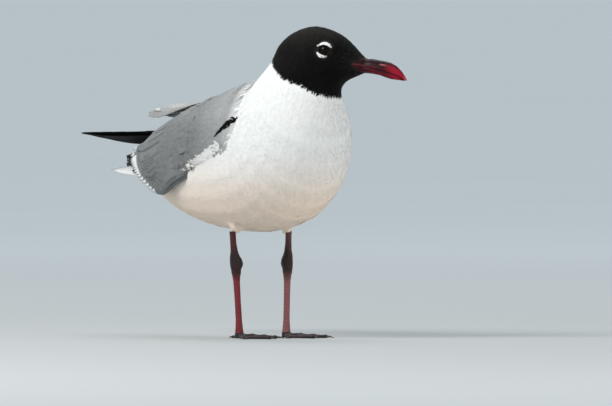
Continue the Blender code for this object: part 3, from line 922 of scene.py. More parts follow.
def vane(name, columns, rows, outline, drop):
    """A whole feather with a rounded tip, its edges lower than its shaft."""
    obj = flat_grid(name, columns, rows)
    for i in range(columns + 1):
        x = i / columns - 0.5
        select_where(obj, lambda co: abs(co.x - x) < 0.2 / columns)
        bpy.ops.transform.translate(value=(0.0, -SWEEP * abs(2 * x) ** 2, -drop * (2 * x) ** 2))
    select_where(obj, lambda co: True)
    work = bmesh.from_edit_mesh(obj.data)
    for vertex in work.verts:
        i = round((vertex.co.y + SWEEP * abs(2 * vertex.co.x) ** 2) * rows)
        vertex.co.x *= float(read(outline, i / rows))
    bmesh.update_edit_mesh(obj.data)
    points, corners = pattern_of(obj)
    points[:, 1] = np.maximum(points[:, 1], 0.0)
    return points, corners


TILE = vane("tile_pattern", 4, 6, TILE_OUTLINE, 0.10)
BLADE = vane("blade_pattern", 6, 26, BLADE_OUTLINE, 0.05)
print("tile", len(TILE[1]), "triangles, blade", len(BLADE[1]), "triangles")

# %% [markdown]
# ## Laying the coat
#
# Roots are strewn evenly over the surface at a chosen spacing. Each feather then follows the lie
# of the plumage: its shaft is laid over the surface through three points, its edges hang a little
# lower and its tip stands a hair proud, so that it covers the roots of the next ones like a tile
# on a roof.

# %% Strewing roots
CROWD = 5.0                         # how many times more roots are tried than find room


def strew(obj, spacing, wanted, seed=1):
    """Roots at an even spacing (metres) on an object, where wanted(places, normals) allows."""
    pick = np.random.default_rng(seed)
    obj.data.calc_loop_triangles()
    corners = np.array([t.vertices[:] for t in obj.data.loop_triangles])
    points = positions(obj)
    facing = normals_of(obj)
    a, b, c = (points[corners[:, i]] for i in range(3))
    area = np.linalg.norm(np.cross(b - a, c - a), axis=1) / 2
    count = int(CROWD * area.sum() / spacing ** 2)
    chosen = pick.choice(len(corners), count, p=area / area.sum())
    u, v = pick.random((2, count))
    flip = u + v > 1
    u[flip], v[flip] = 1 - u[flip], 1 - v[flip]
    share = np.c_[1 - u - v, u, v]
    places = (points[corners[chosen]] * share[:, :, None]).sum(axis=1)
    normals = unit((facing[corners[chosen]] * share[:, :, None]).sum(axis=1))
    keep = wanted(places, normals)
    places, normals = places[keep], normals[keep]
    cloud = KDTree(len(places))
    for i, place in enumerate(places):
        cloud.insert(place, i)
    cloud.balance()
    free = np.ones(len(places), bool)
    kept = []
    for i, place in enumerate(places):
        if free[i]:
            kept.append(i)
            for _, k, _ in cloud.find_range(place, spacing):
                free[k] = False
    return places[kept], normals[kept]


def anywhere(places, normals):
    return np.ones(len(places), bool)


print(len(strew(skin, 10 * MM, anywhere)[0]), "roots, 10 mm apart, cover the skin")

# %% Joining the copies of a feather
PATCH = 0.003                       # the size of one feather's patch on the unwrap


def build_coat(name, points, corners, shades, pattern, roots):
    """Join all copies of a pattern into one mesh, with its unwraps and attributes."""
    count, size = points.shape[:2]
    faces = (corners[None] + size * np.arange(count)[:, None, None]).reshape(-1, 3)
    mesh = bpy.data.meshes.new(name)
    mesh.vertices.add(count * size)
    mesh.vertices.foreach_set("co", points.ravel())
    mesh.loops.add(faces.size)
    mesh.loops.foreach_set("vertex_index", faces.ravel().astype(np.int32))
    mesh.polygons.add(len(faces))
    mesh.polygons.foreach_set("loop_start", np.arange(0, faces.size, 3, dtype=np.int32))
    mesh.polygons.foreach_set("use_smooth", np.ones(len(faces), bool))
    mesh.update(calc_edges=True)
    obj = in_scene(name, mesh)
    at = unwrap(roots)
    patch = np.broadcast_to(pattern[:, :2] + (0.5, 0.0), (count, size, 2))
    baked = at[:, None, :] + (patch - 0.5) * PATCH
    for title, places in (("OFBake", baked), ("vane", patch)):
        layer = mesh.uv_layers.new(name=title)
        layer.data.foreach_set("uv", places.reshape(-1, 2)[faces.ravel()].ravel())
    for title, values in shades.items():
        give_attribute(obj, title, np.repeat(values, size))
    return obj


print("a coat has the unwraps OFBake, for the whole bird, and vane, for each feather")

# %% Laying and wearing
dice = np.random.default_rng(7)


def curve_weights(part):
    """Weights of the root, the middle and the tip at shares of a feather's length, for a curve
    through all three."""
    return (1 - part) * (1 - 2 * part), 4 * part * (1 - part), part * (2 * part - 1)


def lay(name, pattern, surface, roots, normals, length, width, lift, droop=0.0, wander=0.12,
        sink=0.25, flows=None, reach=4.5, **shades):
    """Lay one feather at each root. Length, width and lift are in metres, one for all or one for
    each root. The root is sunk by sink mm, and the surface is looked for up to reach mm above it."""
    points, corners = pattern
    count = len(roots)
    length = np.broadcast_to(length, count) * dice.uniform(0.88, 1.12, count)
    width = np.broadcast_to(width, count) * dice.uniform(0.9, 1.1, count)
    lift = np.broadcast_to(lift, count) * dice.uniform(0.6, 1.4, count)
    if flows is None:
        flows = lie_of(roots, normals, droop)[0]
    side = np.cross(flows, normals)
    flows = unit(flows + side * dice.normal(0, wander, count)[:, None])
    stops = [(roots, normals)]
    for part in (0.5, 1.0):
        ahead = roots + flows * (length * part)[:, None]
        stops.append(surface.outermost(ahead, normals, reach * MM))
    facing = [normals] + [unit(normals + 0.8 * n) for _, n in stops[1:]]
    bends = curve_weights(points[:, 1][None, :, None])
    shaft = sum(b * p[:, None, :] for b, (p, _) in zip(bends, stops))
    over = sum(b * n[:, None, :] for b, n in zip(bends, facing))
    across = unit(np.cross(flows, normals))
    height = lift[:, None] * points[:, 1] ** 1.4 + points[:, 2] * width[:, None] - sink * MM * (
        1 - points[:, 1]) ** 2
    where = shaft + across[:, None, :] * (points[:, 0][None, :] * width[:, None])[:, :, None]
    where = where + over * height[:, :, None]
    shades["shade"] = dice.uniform(0.0, 1.0, count)
    return build_coat(name, where, corners, shades, points, roots)


def wear(obj, finish):
    """Give a piece its finish and let it ride on the bird."""
    obj.data.materials.clear()
    obj.data.materials.append(finish.material)
    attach(obj, "root")
    print(obj.name, sum(len(f.vertices) - 2 for f in obj.data.polygons), "triangles")


print("at half its length a feather has the weights", curve_weights(0.5))

# %% [markdown]
# ## Beds of the wings and the back
#
# The folded wing is a thick mat of feathers. Its solids are copied and rounded into beds that fill
# the wing from below, and the feathers that are seen are laid on top.

# %% Edges of the closed wing
# Angles from straight up (degrees) of its top and low edge at places along the body, and the
# places (mm) of its front and rear edge at shares of its height.
WING_TOP = ((-16.0, 13.0), (20.0, 14.0), (60.0, 20.0), (80.0, 36.0), (110.0, 46.0), (124.0, 56.0))
WING_LOW = ((-22.0, 74.0), (0.0, 82.0), (25.0, 90.0), (55.0, 101.0), (84.0, 119.0), (124.0, 116.0))
WING_FRONT = ((0.0, -12.0), (0.35, -25.0), (0.7, -31.0), (1.0, -24.0))
WING_REAR = ((0.0, 112.0), (0.25, 122.0), (0.5, 120.0), (0.8, 106.0), (1.0, 86.0))
AXIS_Z = 125.0                      # mm up, the line from which those angles are taken


def wing_places(places):
    """On the closed wing: height from 0 at its top edge to 1 at its low edge, share of its
    length from the front, and angle from straight up."""
    at = body_places(places)
    angle = np.degrees(np.arctan2(np.abs(at[:, 0]), at[:, 2] - AXIS_Z))
    top, low = read(WING_TOP, at[:, 1]), read(WING_LOW, at[:, 1])
    height = (angle - top) / (low - top)
    front, rear = read(WING_FRONT, height), read(WING_REAR, height)
    return height, (at[:, 1] - front) / (rear - front), angle


def from_front(places):
    """Distance behind the soft front edge of the slate field, in mm."""
    at = body_places(places)
    height, share, _ = wing_places(places)
    return np.where(height > 0.0, share * 130.0, at[:, 1] + 14.0) + 3.0 * ripple(at, 6.0)


def lower_back(places, normals, border=0.0):
    """Whether places lie on the slate lower back between the wings."""
    at = body_places(places)
    rear = 84 + 5 * ripple(at, 9.0) + border
    return (normals[:, 2] > 0.1) & (at[:, 1] > 36) & (at[:, 1] < rear) & (wing_places(places)[0] < 0.5)


at = positions(skin)
slate = np.maximum(slate_share(at) * smoothstep(-3.0, 8.0, from_front(at)),
                   lower_back(at, normals_of(skin), 2.0))
give_attribute(skin, "slate", slate)
print("slate covers", round(100 * float(slate.mean())), "% of the skin")

# %% Soft front edge of the slate
# How pale the slate is at distances behind its front edge (mm).
FADE = ((-4.0, 0.80), (1.0, 0.42), (8.0, 0.25), (18.0, 0.16), (50.0, 0.0))


def pale_edge_and_top_light(places):
    """How pale the slate is at each place: white at its soft front edge, and paler higher up, where light
    from above is painted in.
    """
    # The second term is painted light from above: the slate is paler towards the top of the back.
    return read(FADE, from_front(places)) + 0.09 * smoothstep(146, 168, body_places(places)[:, 2])


give_attribute(skin, "pale", pale_edge_and_top_light(positions(skin)))
print("at its front edge the slate is", round(100 * float(read(FADE, 0.0))), "% white")

# %% Beds
BED_FRONT = 38.0                    # mm, where the bed starts under the coverts
BED_DEPTH = 0.7                     # mm from the solid's face to the bed's
BED_SWELL = 0.6                     # mm, while the solids are fused


def bed(side, *sources):
    """A rounded, slightly thinner copy of a wing's solids, whose front end dips under the skin."""
    obj = merged_copy(f"{side}_wing_bed", f"{side}_wing_coverts", *sources)
    swell(obj, BED_SWELL * MM)
    even_surface(obj, 1.0 * MM, 6)
    trim(obj, BODY + Vector((0.0, BED_FRONT * MM, 0.0)), (0.0, 1.0, 0.0))
    dip = 1.3 * (1 - smoothstep(42.0, 52.0, body_places(positions(obj))[:, 1]))
    swell(obj, -(BED_SWELL + BED_DEPTH + dip) * MM)
    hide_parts(*sources)
    return obj


beds = {
    "right": bed("right", "right_secondaries", "right_tertials"),
    "left": bed("left", "left_secondaries"),
}
bed_finish = Finish("slate_ground", Roughness=0.9)
bed_finish.set("Base Color", bed_finish.mix(bed_finish.noise(200.0), GREY_DARK, GREY))
bed_finish.bump(bed_finish.noise(1200.0, 2.0), 0.3 * MM)
for obj in beds.values():
    wear(obj, bed_finish)

# Surfaces to lay feathers on.
bare_skin = Surface(skin)
whole = Surface(skin, *beds.values())
wings_only = Surface(*beds.values())

# %% [markdown]
# ## White plumage
#
# The breast, belly, flanks and rump are white. Their feathers are soft and overlap so closely that
# only fine streaks show where barbs part. The lower breast and belly are painted a little warmer:
# warm light thrown up from below, painted into their colour.

# %% Finish of the soft feathers
def soft_finish(name, pale, warm):
    """Colour of soft plumage: white, with warm light from below painted in low down, and a small difference
    between feathers.
    """
    finish = Finish(name, Roughness=0.85).matt()
    low = 1 - finish.attribute("high")
    cloud = finish.noise(90.0, 3.0)
    # Low on the body the warm tone is painted warm light thrown up from below.
    base = finish.mix((low * (cloud * 0.2 + 0.9)).held(), pale, warm)
    each = finish.attribute("shade") * 0.05 + 0.95
    tip = 1.0 - (finish.vane(1).ramp(0.0, 0.5) - 1.0).size() * 0.05
    finish.set("Base Color", finish.tone(base, each * tip))
    finish.bump(finish.noise(2500.0, 2.0, vector=finish.stretched(1.0, 0.4, 0.4)), 0.08 * MM)
    return finish


white_finish = soft_finish("white_feather", WHITE, WARM_BOUNCE_WHITE)
print("white feathers are painted with", len(white_finish.tree.nodes), "nodes")

# %% Coat of the breast, belly and flanks
LEG_COAT = 4.5 * MM                 # length of the short feathers where the legs come out


def white_root(places, normals):
    """White feathers grow off the hood and the slate, and where no wing lies."""
    white = (hood_share(places) < 0.5) & (slate_share(places) < 0.15) & (from_eye(places) > 9)
    white &= ~lower_back(places, normals)
    white[white] = ~wings_only.covers(places[white], normals[white], 32 * MM)
    return white


roots, normals = strew(skin, 1.42 * MM, anywhere)
keep = white_root(roots, normals)
roots, normals = roots[keep], normals[keep]

# Feathers are short on the neck, at the legs and next to the slate, and longest at the rear.
at = body_places(roots)
neck = smoothstep(150, 178, at[:, 2])
rear = smoothstep(40, 100, at[:, 1])
leg = (at[:, 2] < 86) & (np.abs(at[:, 1] - 4) < 12)
length = (12.0 - 5.5 * neck + 2.0 * rear) * MM
length = np.minimum(length, (3.0 + 0.6 * slate_solids.distance(roots)) * MM)
length[leg] = LEG_COAT
width = length * 0.27
lift = (0.13 + 0.12 * rear) * MM
parts = {"breast_coat": (at[:, 1] < -38), "belly_coat": (at[:, 1] >= -38) & (at[:, 1] < 12),
         "flank_coat": at[:, 1] >= 12}
for name, where in parts.items():
    coat = lay(name, SOFT, bare_skin, roots[where], normals[where], length[where], width[where],
               lift[where], droop=0.12)
    give_attribute(coat, "high", highness(positions(coat)))
    wear(coat, white_finish)

# %% [markdown]
# ## Hood
#
# The feathers of the head are the smallest: a velvet that gets shorter towards the bill and the
# eye. The hood is black round the eye and a shade browner on the nape; the same lighter tone on the
# crown is painted light falling from above.

# %% Where the bill's horn is bare
# Edges of the feathers at the base of the bill in head axes: distance ahead, height (mm).
GAPE = 48.8                         # mm ahead, the corner of the mouth
CULMEN_EDGE = ((48.8, 200.4), (52.5, 202.2), (56.0, 204.8))
CHIN_EDGE = ((48.8, 197.4), (52.0, 194.3), (56.0, 191.2))


def gape_share(at):
    """1 where the horn is bare, 0 where feathers grow; places in head axes."""
    ahead, height = -at[:, 1], at[:, 2]
    edge = np.minimum(read(CULMEN_EDGE, ahead) - height, height - read(CHIN_EDGE, ahead))
    edge = np.minimum(edge, (ahead - GAPE) * 0.8)
    return np.maximum(smoothstep(-0.5, 0.5, edge), ahead > BILL_BASE)


print("horn is bare on", int((gape_share(head_places(positions(skin))) > 0.5).sum()), "places of the skin")

# %% Hood
hood_finish = Finish("hood_feather", Roughness=0.62).matt(0.08)
cloud = hood_finish.noise(160.0, 3.0)
# Painted light: the crown is made lighter where light falls from above; the nape is browner in its own
# colour.
brown = (hood_finish.attribute("brown") * 0.8 + cloud * 0.5 - 0.25).held()
hood_colour = hood_finish.mix(brown, HOOD_BLACK, HOOD_BROWN)
each = hood_finish.attribute("shade") * 0.5 + 0.75
hood_finish.set("Base Color", hood_finish.tone(hood_colour, each))
hood_finish.bump(hood_finish.noise(2500.0, 2.0), 0.12 * MM)

roots, normals = strew(skin, 0.85 * MM, lambda p, n: p[:, 2] > 0.168, seed=3)
at = head_places(roots)
margin = over_hood_edge(at)
inside = margin + dice.normal(0, 0.4, len(at)) > 0.5
away = from_eye(roots)
inside &= (away > 6.0) & (crescent_share(roots) < 0.1) & (gape_share(at) < 0.5)
roots, normals, at, away, margin = (v[inside] for v in (roots, normals, at, away, margin))

# They get shorter towards the bill and the eye, and browner on the nape; on the crown the lighter tone is
# painted light from above.
snout = smoothstep(34, 54, -at[:, 1])
ring = 1 - smoothstep(6.5, 11.0, away)
length = (3.4 - 1.7 * snout) * (1 - 0.55 * ring) * MM
top_light_and_nape = smoothstep(208, 222, at[:, 2]) * 0.8 + smoothstep(-5, 15, at[:, 1]) * 0.6
hood_coat = lay("hood_coat", VELVET, whole, roots, normals, length,
                length * (0.30 + 0.25 * smoothstep(1.0, 5.0, margin)),
                (0.55 - 0.3 * snout - 0.15 * ring) * MM, sink=0.15, brown=np.clip(top_light_and_nape, 0, 1))
wear(hood_coat, hood_finish)

# %% [markdown]
# ## White crescents
#
# Above and below the eye the bird has a crescent of tiny white feathers. They are too small for
# roots strewn by chance, so these stand in rings round the line of sight, each pointing back along
# the head.

# %% Feathers of the white crescents
CRESCENT_DEPTH = 4.0                # mm from the eye's middle towards the onlooker, where they start
crescent_finish = Finish("crescent_feather", Roughness=0.8).matt()
shade = crescent_finish.attribute("shade") * 0.06 + 0.94
crescent_finish.set("Base Color", crescent_finish.tone((0.88, 0.88, 0.87), shade))
crescent_finish.bump(crescent_finish.noise(3000.0, 2.0), 0.08 * MM)
roots = []
for side in EYES:
    ahead, over = (np.array(v) for v in eye_axes(side))
    for reach in np.arange(3.9, 6.2, 0.32):
        for angle in np.radians(np.arange(0.0, 360.0, 20.0 / reach)):
            out = ahead * math.cos(angle) + over * math.sin(angle)
            out = out * reach + np.array(SIGHT[side]) * CRESCENT_DEPTH
            roots.append((np.array(EYES[side]) + out * MM, side))
places = np.array([place for place, _ in roots])
sights = np.array([SIGHT[side] for _, side in roots])
keep = crescent_share(places) > 0.5
places, sights = places[keep], sights[keep]
places, normals = bare_skin.outermost(places, sights, 3.0 * MM)
flows = lie_of(places, normals)[0]
crescents = lay("eye_crescents", VELVET, whole, places, normals, 1.25 * MM, 0.62 * MM, 0.22 * MM,
                sink=0.05, flows=flows)
wear(crescents, crescent_finish)

# %% [markdown]
# ## Flight feathers
#
# The long feathers of the wing and tail are few and big, so each one is laid on a line of its own.
# On the closed wing that line runs over the bed from the coverts to the rear edge. In the wing
# tips, the raised inner feathers and the tail it follows the solid blade, which is sliced from
# front to rear to find its middle line, its width and its tilt.

# %% Lines over the closed wing
STATIONS = 9                        # points on the line of a long feather
WING_CORE = 45.0 * MM               # from the axis to the wing, where nothing is there to measure


def wing_line(side, height, start, end, above):
    """Line over a closed wing: height from 0 at its top edge to 1 at its low edge, start and end
    as shares of its length, and the distance above the bed in mm."""
    found = []
    for share in np.linspace(start, end, STATIONS):
        y = read(WING_FRONT, height) + (read(WING_REAR, height) - read(WING_FRONT, height)) * share
        angle = math.radians(read(WING_TOP, y) + (read(WING_LOW, y) - read(WING_TOP, y)) * height)
        out = Vector((SIDES[side] * math.sin(angle), 0.0, math.cos(angle)))
        axis = BODY + Vector((0.0, y, AXIS_Z)) * MM
        solid = whole if share < 0.5 else wings_only
        hit = solid.tree.ray_cast(axis + out * 80 * MM, -out, 70 * MM)
        reach = (hit[0] - axis).length if hit[0] else None
        found.append((axis, out, reach, hit[1] if hit[0] and hit[1].dot(out) > 0.3 else out))
    sure = [i for i, item in enumerate(found) if item[2] is not None] or [0]
    path = []
    facing = []
    for i, (axis, out, reach, normal) in enumerate(found):
        reach = reach or found[min(sure, key=lambda k: abs(k - i))][2] or WING_CORE
        path.append(axis + out * (reach + above * MM))
        facing.append(normal)
    return np.array(path), unit(np.array(facing))


top_line, _ = wing_line("right", 0.0, 0.0, 1.0, 0.0)
print("the closed wing's top edge is", round(steps_of(top_line)[-1] * 1000), "mm long")

# %% Lines along a sliced blade
def slices(node, count):
    """Slices of a blade from front to rear: middle, direction across, direction up, half width."""
    points = positions(nodes[node])
    low, high = points[:, 1].min(), points[:, 1].max()
    step = (high - low) / count
    rows = []
    for y in np.linspace(low, high, count):
        near = points[np.abs(points[:, 1] - y) < step * 0.75]
        centre = near.mean(axis=0)
        flat = (near - centre)[:, [0, 2]]
        _, _, axes = np.linalg.svd(flat, full_matrices=False)
        across = np.array((axes[0, 0], 0.0, axes[0, 1]))
        across *= np.sign(across[0]) or 1.0
        over = np.array((-across[2], 0.0, across[0]))
        rows.append((centre, across, over, np.abs(flat @ axes[0]).max()))
    return [np.array(column) for column in zip(*rows)]


def blade_line(rows, aside, above, start, end):
    """Line along a sliced blade, aside in half widths and above in mm."""
    centre, across, over, half = rows
    places = np.linspace(0.0, 1.0, len(half))
    where = np.linspace(start, end, STATIONS)
    out, up = between(where, places, across), between(where, places, over)
    width = np.interp(where, places, half)
    path = between(where, places, centre) + out * (aside * width)[:, None] + up * above * MM
    before = where < 0              # these stations lie ahead of the blade's front end
    path[before, 1] += where[before] * (centre[-1, 1] - centre[0, 1])
    return path, unit(up)


print("the tail's blade is", round(float(slices("tail", 6)[3].max() * 2000)), "mm wide")

# %% Laying long feathers
def lay_blades(name, rows, thickness=0.35):
    """Join long feathers: rows of (path, normals, width in mm, white share at the tip, bend)."""
    points, corners = BLADE
    made = []
    roots = []
    whites = []
    for path, facing, width, white, bend in rows:
        places = np.linspace(0.0, 1.0, len(path))
        shaft = between(points[:, 1], places, path)
        over = unit(between(points[:, 1], places, facing))
        ahead = unit(between(points[:, 1], places, np.gradient(path, axis=0)))
        across = unit(np.cross(ahead, over))
        wide = width * MM
        made.append(shaft + across * (points[:, 0] * wide)[:, None]
                    + over * (points[:, 2] * wide + bend * MM * points[:, 1] ** 3)[:, None])
        roots.append(path[len(path) // 2])
        whites.append(white)
    shades = {"shade": dice.uniform(0, 1, len(made)), "tip": np.array(whites)}
    obj = build_coat(name, np.array(made), corners, shades, points, np.array(roots))
    apply_modifier(obj, "SOLIDIFY", thickness=thickness * MM, offset=-1.0)
    return obj


print("one long feather has", 2 * len(BLADE[1]), "triangles and its edges")

# %% Finish of the long feathers
BLADE_WHITE = (0.78, 0.78, 0.77)
BLACK_VANES = ((0.0035, 0.0033, 0.0033), (0.006, 0.0058, 0.0058))


def blade_finish(name, colour, rim):
    """A long feather: barbs slant off a darker shaft, and the tip may be white."""
    finish = Finish(name, Roughness=0.6).matt(0.12)
    across = (finish.vane(0) - 0.5).size() * 2
    along = finish.vane(1)
    base = finish.mix(finish.noise(70.0, 3.0), colour, rim)
    base = finish.mix(across.ramp(0.80, 1.0) * 0.4, base, rim)
    border = 1.0 - finish.attribute("tip") * (1.0 - across * across * 0.35)
    white_share = ((along - border) * 60.0).held() * finish.attribute("tip").ramp(0.0, 0.01)
    base = finish.mix(white_share, base, BLADE_WHITE)
    shaft = 1 - across.ramp(0.02, 0.07)
    finish.set("Base Color", finish.tone(base, finish.attribute("shade") * 0.14 + 0.90 - shaft * 0.2))
    barbs = ((along * 150.0 - across * 18.0) * 2.0).sine() * 0.5 + 0.5
    finish.bump(barbs * 0.4 + finish.noise(900.0, 2.0) * 0.6 + shaft * 1.2, 0.15 * MM)
    return finish


slate_blade = blade_finish("slate_blade", GREY, (0.225, 0.23, 0.232))
pale_blade = blade_finish("pale_blade", (0.30, 0.30, 0.295), (0.52, 0.52, 0.51))
black_blade = blade_finish("black_blade", *BLACK_VANES)
white_blade = blade_finish("white_blade", BLADE_WHITE, (0.70, 0.70, 0.69))
print("long feathers are painted with", len(slate_blade.tree.nodes), "nodes")

# %% Cores under the long feathers
CORE_SWELL = 0.3                    # mm, while a core is remeshed
core_finish = {}
for title, tones in (("black", BLACK_VANES), ("pale", ((0.25, 0.25, 0.245), (0.32, 0.32, 0.31)))):
    finish = Finish(f"{title}_vane_ground", Roughness=0.8).matt(0.1)
    finish.set("Base Color", finish.mix(finish.noise(150.0), *tones))
    finish.bump(finish.noise(1500.0, 2.0), 0.12 * MM)
    core_finish[title] = finish


def core(node, shrink, title, lower=0.0):
    """A smooth copy of a solid, drawn in by shrink mm and let down by lower mm, that fills the
    inside of its feathers."""
    obj = merged_copy(f"{node}_core", node)
    swell(obj, CORE_SWELL * MM)
    even_surface(obj, 0.8 * MM, 3)
    swell(obj, -(CORE_SWELL + shrink) * MM)
    obj.data.transform(Matrix.Translation((0.0, 0.0, -lower * MM)))
    wear(obj, core_finish[title])


print("two finishes for the cores:", ", ".join(core_finish))

# %% Rear of the wings
# Height and end of the rows that only the right wing has.
UPPER_ROWS = ((0.40, 1.03), (0.29, 1.0), (0.18, 0.96), (0.08, 0.92))
rear_feathers = {}
for side in SIDES:
    rows = []
    for k, height in enumerate(np.linspace(0.99, 0.47, 15)):
        path, facing = wing_line(side, height, 0.42, 1.025, 0.35 + 0.055 * k)
        rows.append((path, facing, 15.5, 0.09, 0.0))
    if side == "right":
        for k, (height, end) in enumerate(UPPER_ROWS):
            path, facing = wing_line(side, height, 0.40, end, 1.25 + 0.2 * k)
            rows.append((path, facing, 19.0, 0.06, 0.2))
    rear_feathers[side] = lay_blades(f"{side}_rear_feathers", rows)
    wear(rear_feathers[side], slate_blade)

# %% [markdown]
# ## Raised feathers, wing tips and tail
#
# On the left wing a few inner feathers stand up: each is given its own root, middle and tip. The
# black wing tips cross over the tail, the left one on top; their feathers end one behind the other,
# the longest undermost. The tail is a flat fan, laid in pairs from its outer edge to its middle.

# %% Raised feathers of the left wing
# Middle line of each feather, root, middle and tip in body axes (mm), and its width.
RAISED = (((26, 50, 159), (15, 88, 158), (1.0, 112, 152), 16.0),
          ((25, 50, 161), (14, 92, 161.5), (-1.5, 117, 155.5), 16.0),
          ((24, 50, 163.5), (13, 92, 164.5), (-5.5, 125, 160.5), 15.0),
          ((22, 50, 166), (11, 92, 167), (-8.5, 131.5, 164.0), 14.0))
rows = []
for root, halfway, tip, width in RAISED:
    ends = [np.array(BODY + Vector(p) * MM) for p in (root, halfway, tip)]
    part = np.linspace(0, 1, STATIONS)[:, None]
    path = sum(weight * end for weight, end in zip(curve_weights(part), ends))
    facing = unit((1 - part) * np.array((0.35, 0.0, 0.94)) + part * np.array((-0.72, -0.42, 0.5)))
    rows.append((path, facing, width, 0.07, 0.0))
obj = lay_blades("left_raised_feathers", rows)
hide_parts("left_tertials")
wear(obj, pale_blade)
core("left_tertials", 0.5, "pale")

# %% Wing tips
# How far along its blade each feather of a wing tip ends.
TIP_ENDS = (0.52, 0.62, 0.72, 0.82, 0.92, 1.01)
# White share at the tips, how far the whole wing tip is lowered and how far the root of its last
# feather sags (mm), and how far aside its feathers lie (half widths of the blade).
WING_TIPS = {"right": (0.05, 1.0, 0.0, (0.6, 0.35, 0.0, -0.9, -0.6, -0.25)),
             "left": (0.0, 1.4, 6.0, (1.4, 1.1, 0.8, 0.45, 0.15, -0.1))}
for side, (white, lower, sag, asides) in WING_TIPS.items():
    rows = []
    tip = slices(f"{side}_primaries", 12)
    for k, end in enumerate(TIP_ENDS):
        path, facing = blade_line(tip, asides[k], 2.3 - 0.55 * k, -0.34, end)
        path[:, 2] -= (lower + sag * k / 5 * np.linspace(1.3, 0.0, len(path))) * MM
        rows.append((path, facing, 14.0, white, 0.0))
    obj = lay_blades(f"{side}_wing_tip", rows, 0.4)
    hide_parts(f"{side}_primaries")
    wear(obj, black_blade)
    core(f"{side}_primaries", 0.3, "black", lower)

# %% Tail
TAIL_PAIRS = (0.86, 0.70, 0.54, 0.38, 0.22, 0.07)   # how far aside each pair lies, in half widths
rows = []
fan = slices("tail", 6)
for k, aside in enumerate(sign * aside for aside in TAIL_PAIRS for sign in (-1, 1)):
    path, facing = blade_line(fan, aside, -0.9 + 0.17 * k, -0.6, 1.0 - 0.02 * abs(aside))
    path[:, 2] += (np.linspace(-2.0, 4.0, len(path)) - 1.5 * aside ** 2) * MM
    facing = unit(facing + np.array((0.45 * aside, 0.0, 0.0)))
    rows.append((path, facing, 10.5, 0.0, 0.0))
obj = lay_blades("tail_feathers", rows, 0.4)
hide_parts("tail")
wear(obj, white_blade)

# %% [markdown]
# ## Shoulder and back
#
# The mantle and the coverts of the wing are tiles: rounded feathers in even ranks, small at the
# shoulder and larger towards the rear, each with a slightly paler edge.

# %% Finish of the tiles
def slate_finish(name):
    """Slate grey with a paler rim, fine barbs and a faint shaft."""
    finish = Finish(name, Roughness=0.72).matt(0.25)
    across = (finish.vane(0) - 0.5).size() * 2
    along = finish.vane(1)
    rim = (across.ramp(0.72, 1.0) * 0.12 + along.ramp(0.86, 1.0) * 0.2).held()
    base = finish.mix(finish.noise(110.0, 3.0), GREY, (0.200, 0.204, 0.206))
    base = finish.mix(rim, base, (0.235, 0.24, 0.243))
    base = finish.mix(finish.attribute("pale"), base, WHITE)
    shaft = 1 - across.ramp(0.0, 0.10)
    finish.set("Base Color", finish.tone(base, finish.attribute("shade") * 0.08 + 0.94 - shaft * 0.08))
    barbs = ((along * 60.0 - across * 22.0) * 2.0).sine() * 0.5 + 0.5
    finish.bump(barbs * 0.5 + finish.noise(1800.0, 2.0) * 0.5, 0.12 * MM)
    return finish


tile_finish = slate_finish("slate_feather")
print("tiles are painted with", len(tile_finish.tree.nodes), "nodes")

# %% Roots and lie of the tiles
WING_LIE = np.array((0.0, 1.0, -0.26))      # direction of the feathers on a closed wing
BED_STRIP = (46.0, 60.0)                    # mm, the front of the beds, where tiles grow too


def outer_root(places, normals):
    """Keep roots on the outer face of a bed, away from the trunk."""
    centre = np.array(BODY + Vector((0.0, 0.0, AXIS_Z)) * MM)
    out = unit((places - centre) * np.array((1.0, 0.0, 1.0)))
    return (normals * out).sum(axis=1) > 0.35


def slate_roots(spacing):
    """Roots on the slate part of the skin and on the front of the beds."""
    places, normals = strew(skin, spacing, lambda p, n: slate_share(p) > 0.5, seed=5)
    keep = (body_places(places)[:, 1] < 52) & ~wings_only.covers(places, normals, 12 * MM)
    found = [(places[keep], normals[keep])]
    for obj in beds.values():
        places, normals = strew(obj, spacing, outer_root, seed=6)
        along = body_places(places)[:, 1]
        keep = (along > BED_STRIP[0]) & (along < BED_STRIP[1])
        found.append((places[keep], normals[keep]))
    return [np.concatenate(column) for column in zip(*found)]


def slate_lie(roots, normals):
    """Direction on the slate field: with the body at its front, along the wing further back."""
    share = smoothstep(5.0, 30.0, from_front(roots))[:, None]
    flow = unit(laid_flat(WING_LIE, normals) * share + lie_of(roots, normals)[0] * (1 - share))
    return laid_flat(flow, normals)


roots, normals = slate_roots(2.7 * MM)
print(len(roots), "roots on the slate")

# %% Tiles of the mantle and the wings
over_blades = Surface(skin, *beds.values(), *rear_feathers.values())
keep = (from_front(roots) > 9.0) & (wing_places(roots)[0] < 0.95) & (normals[:, 2] > -0.6)
roots, normals = over_blades.outermost(roots[keep], normals[keep], 3.5 * MM)
at = body_places(roots)
height = wing_places(roots)[0]
back_share = smoothstep(-20, 60, at[:, 1])
length = (8.0 + 8.0 * back_share) * MM
fields = {"back_tiles": height <= 0.0, "right_tiles": (height > 0.0) & (at[:, 0] < 0),
          "left_tiles": (height > 0.0) & (at[:, 0] >= 0)}
tiles = {}
for name, where in fields.items():
    tiles[name] = lay(name, TILE, over_blades, roots[where], normals[where], length[where],
                      length[where] * 0.72, (0.30 + 0.26 * back_share[where]) * MM,
                      flows=slate_lie(roots[where], normals[where]), reach=2.5)
    give_attribute(tiles[name], "pale", pale_edge_and_top_light(positions(tiles[name])))
    wear(tiles[name], tile_finish)

# %% [markdown]
# ## Lower back and front of the wing
#
# Between the closed wings the lower back is covered by long, flat grey feathers, which are large
# tiles. At the front of the wing the grey starts softly: there the feathers are tufts again, white
# at the edge of the field and grey behind it, by the same rule as the skin under them.

# %% Long feathers of the lower back
roots, normals = strew(skin, 3.6 * MM, lambda p, n: lower_back(p, n, 3.0), seed=12)
coat = lay("lower_back_feathers", TILE, bare_skin, roots, normals, 17.0 * MM, 10.0 * MM, 0.6 * MM,
           flows=laid_flat(WING_LIE, normals), wander=0.06, pale=np.zeros(len(roots)))
wear(coat, tile_finish)

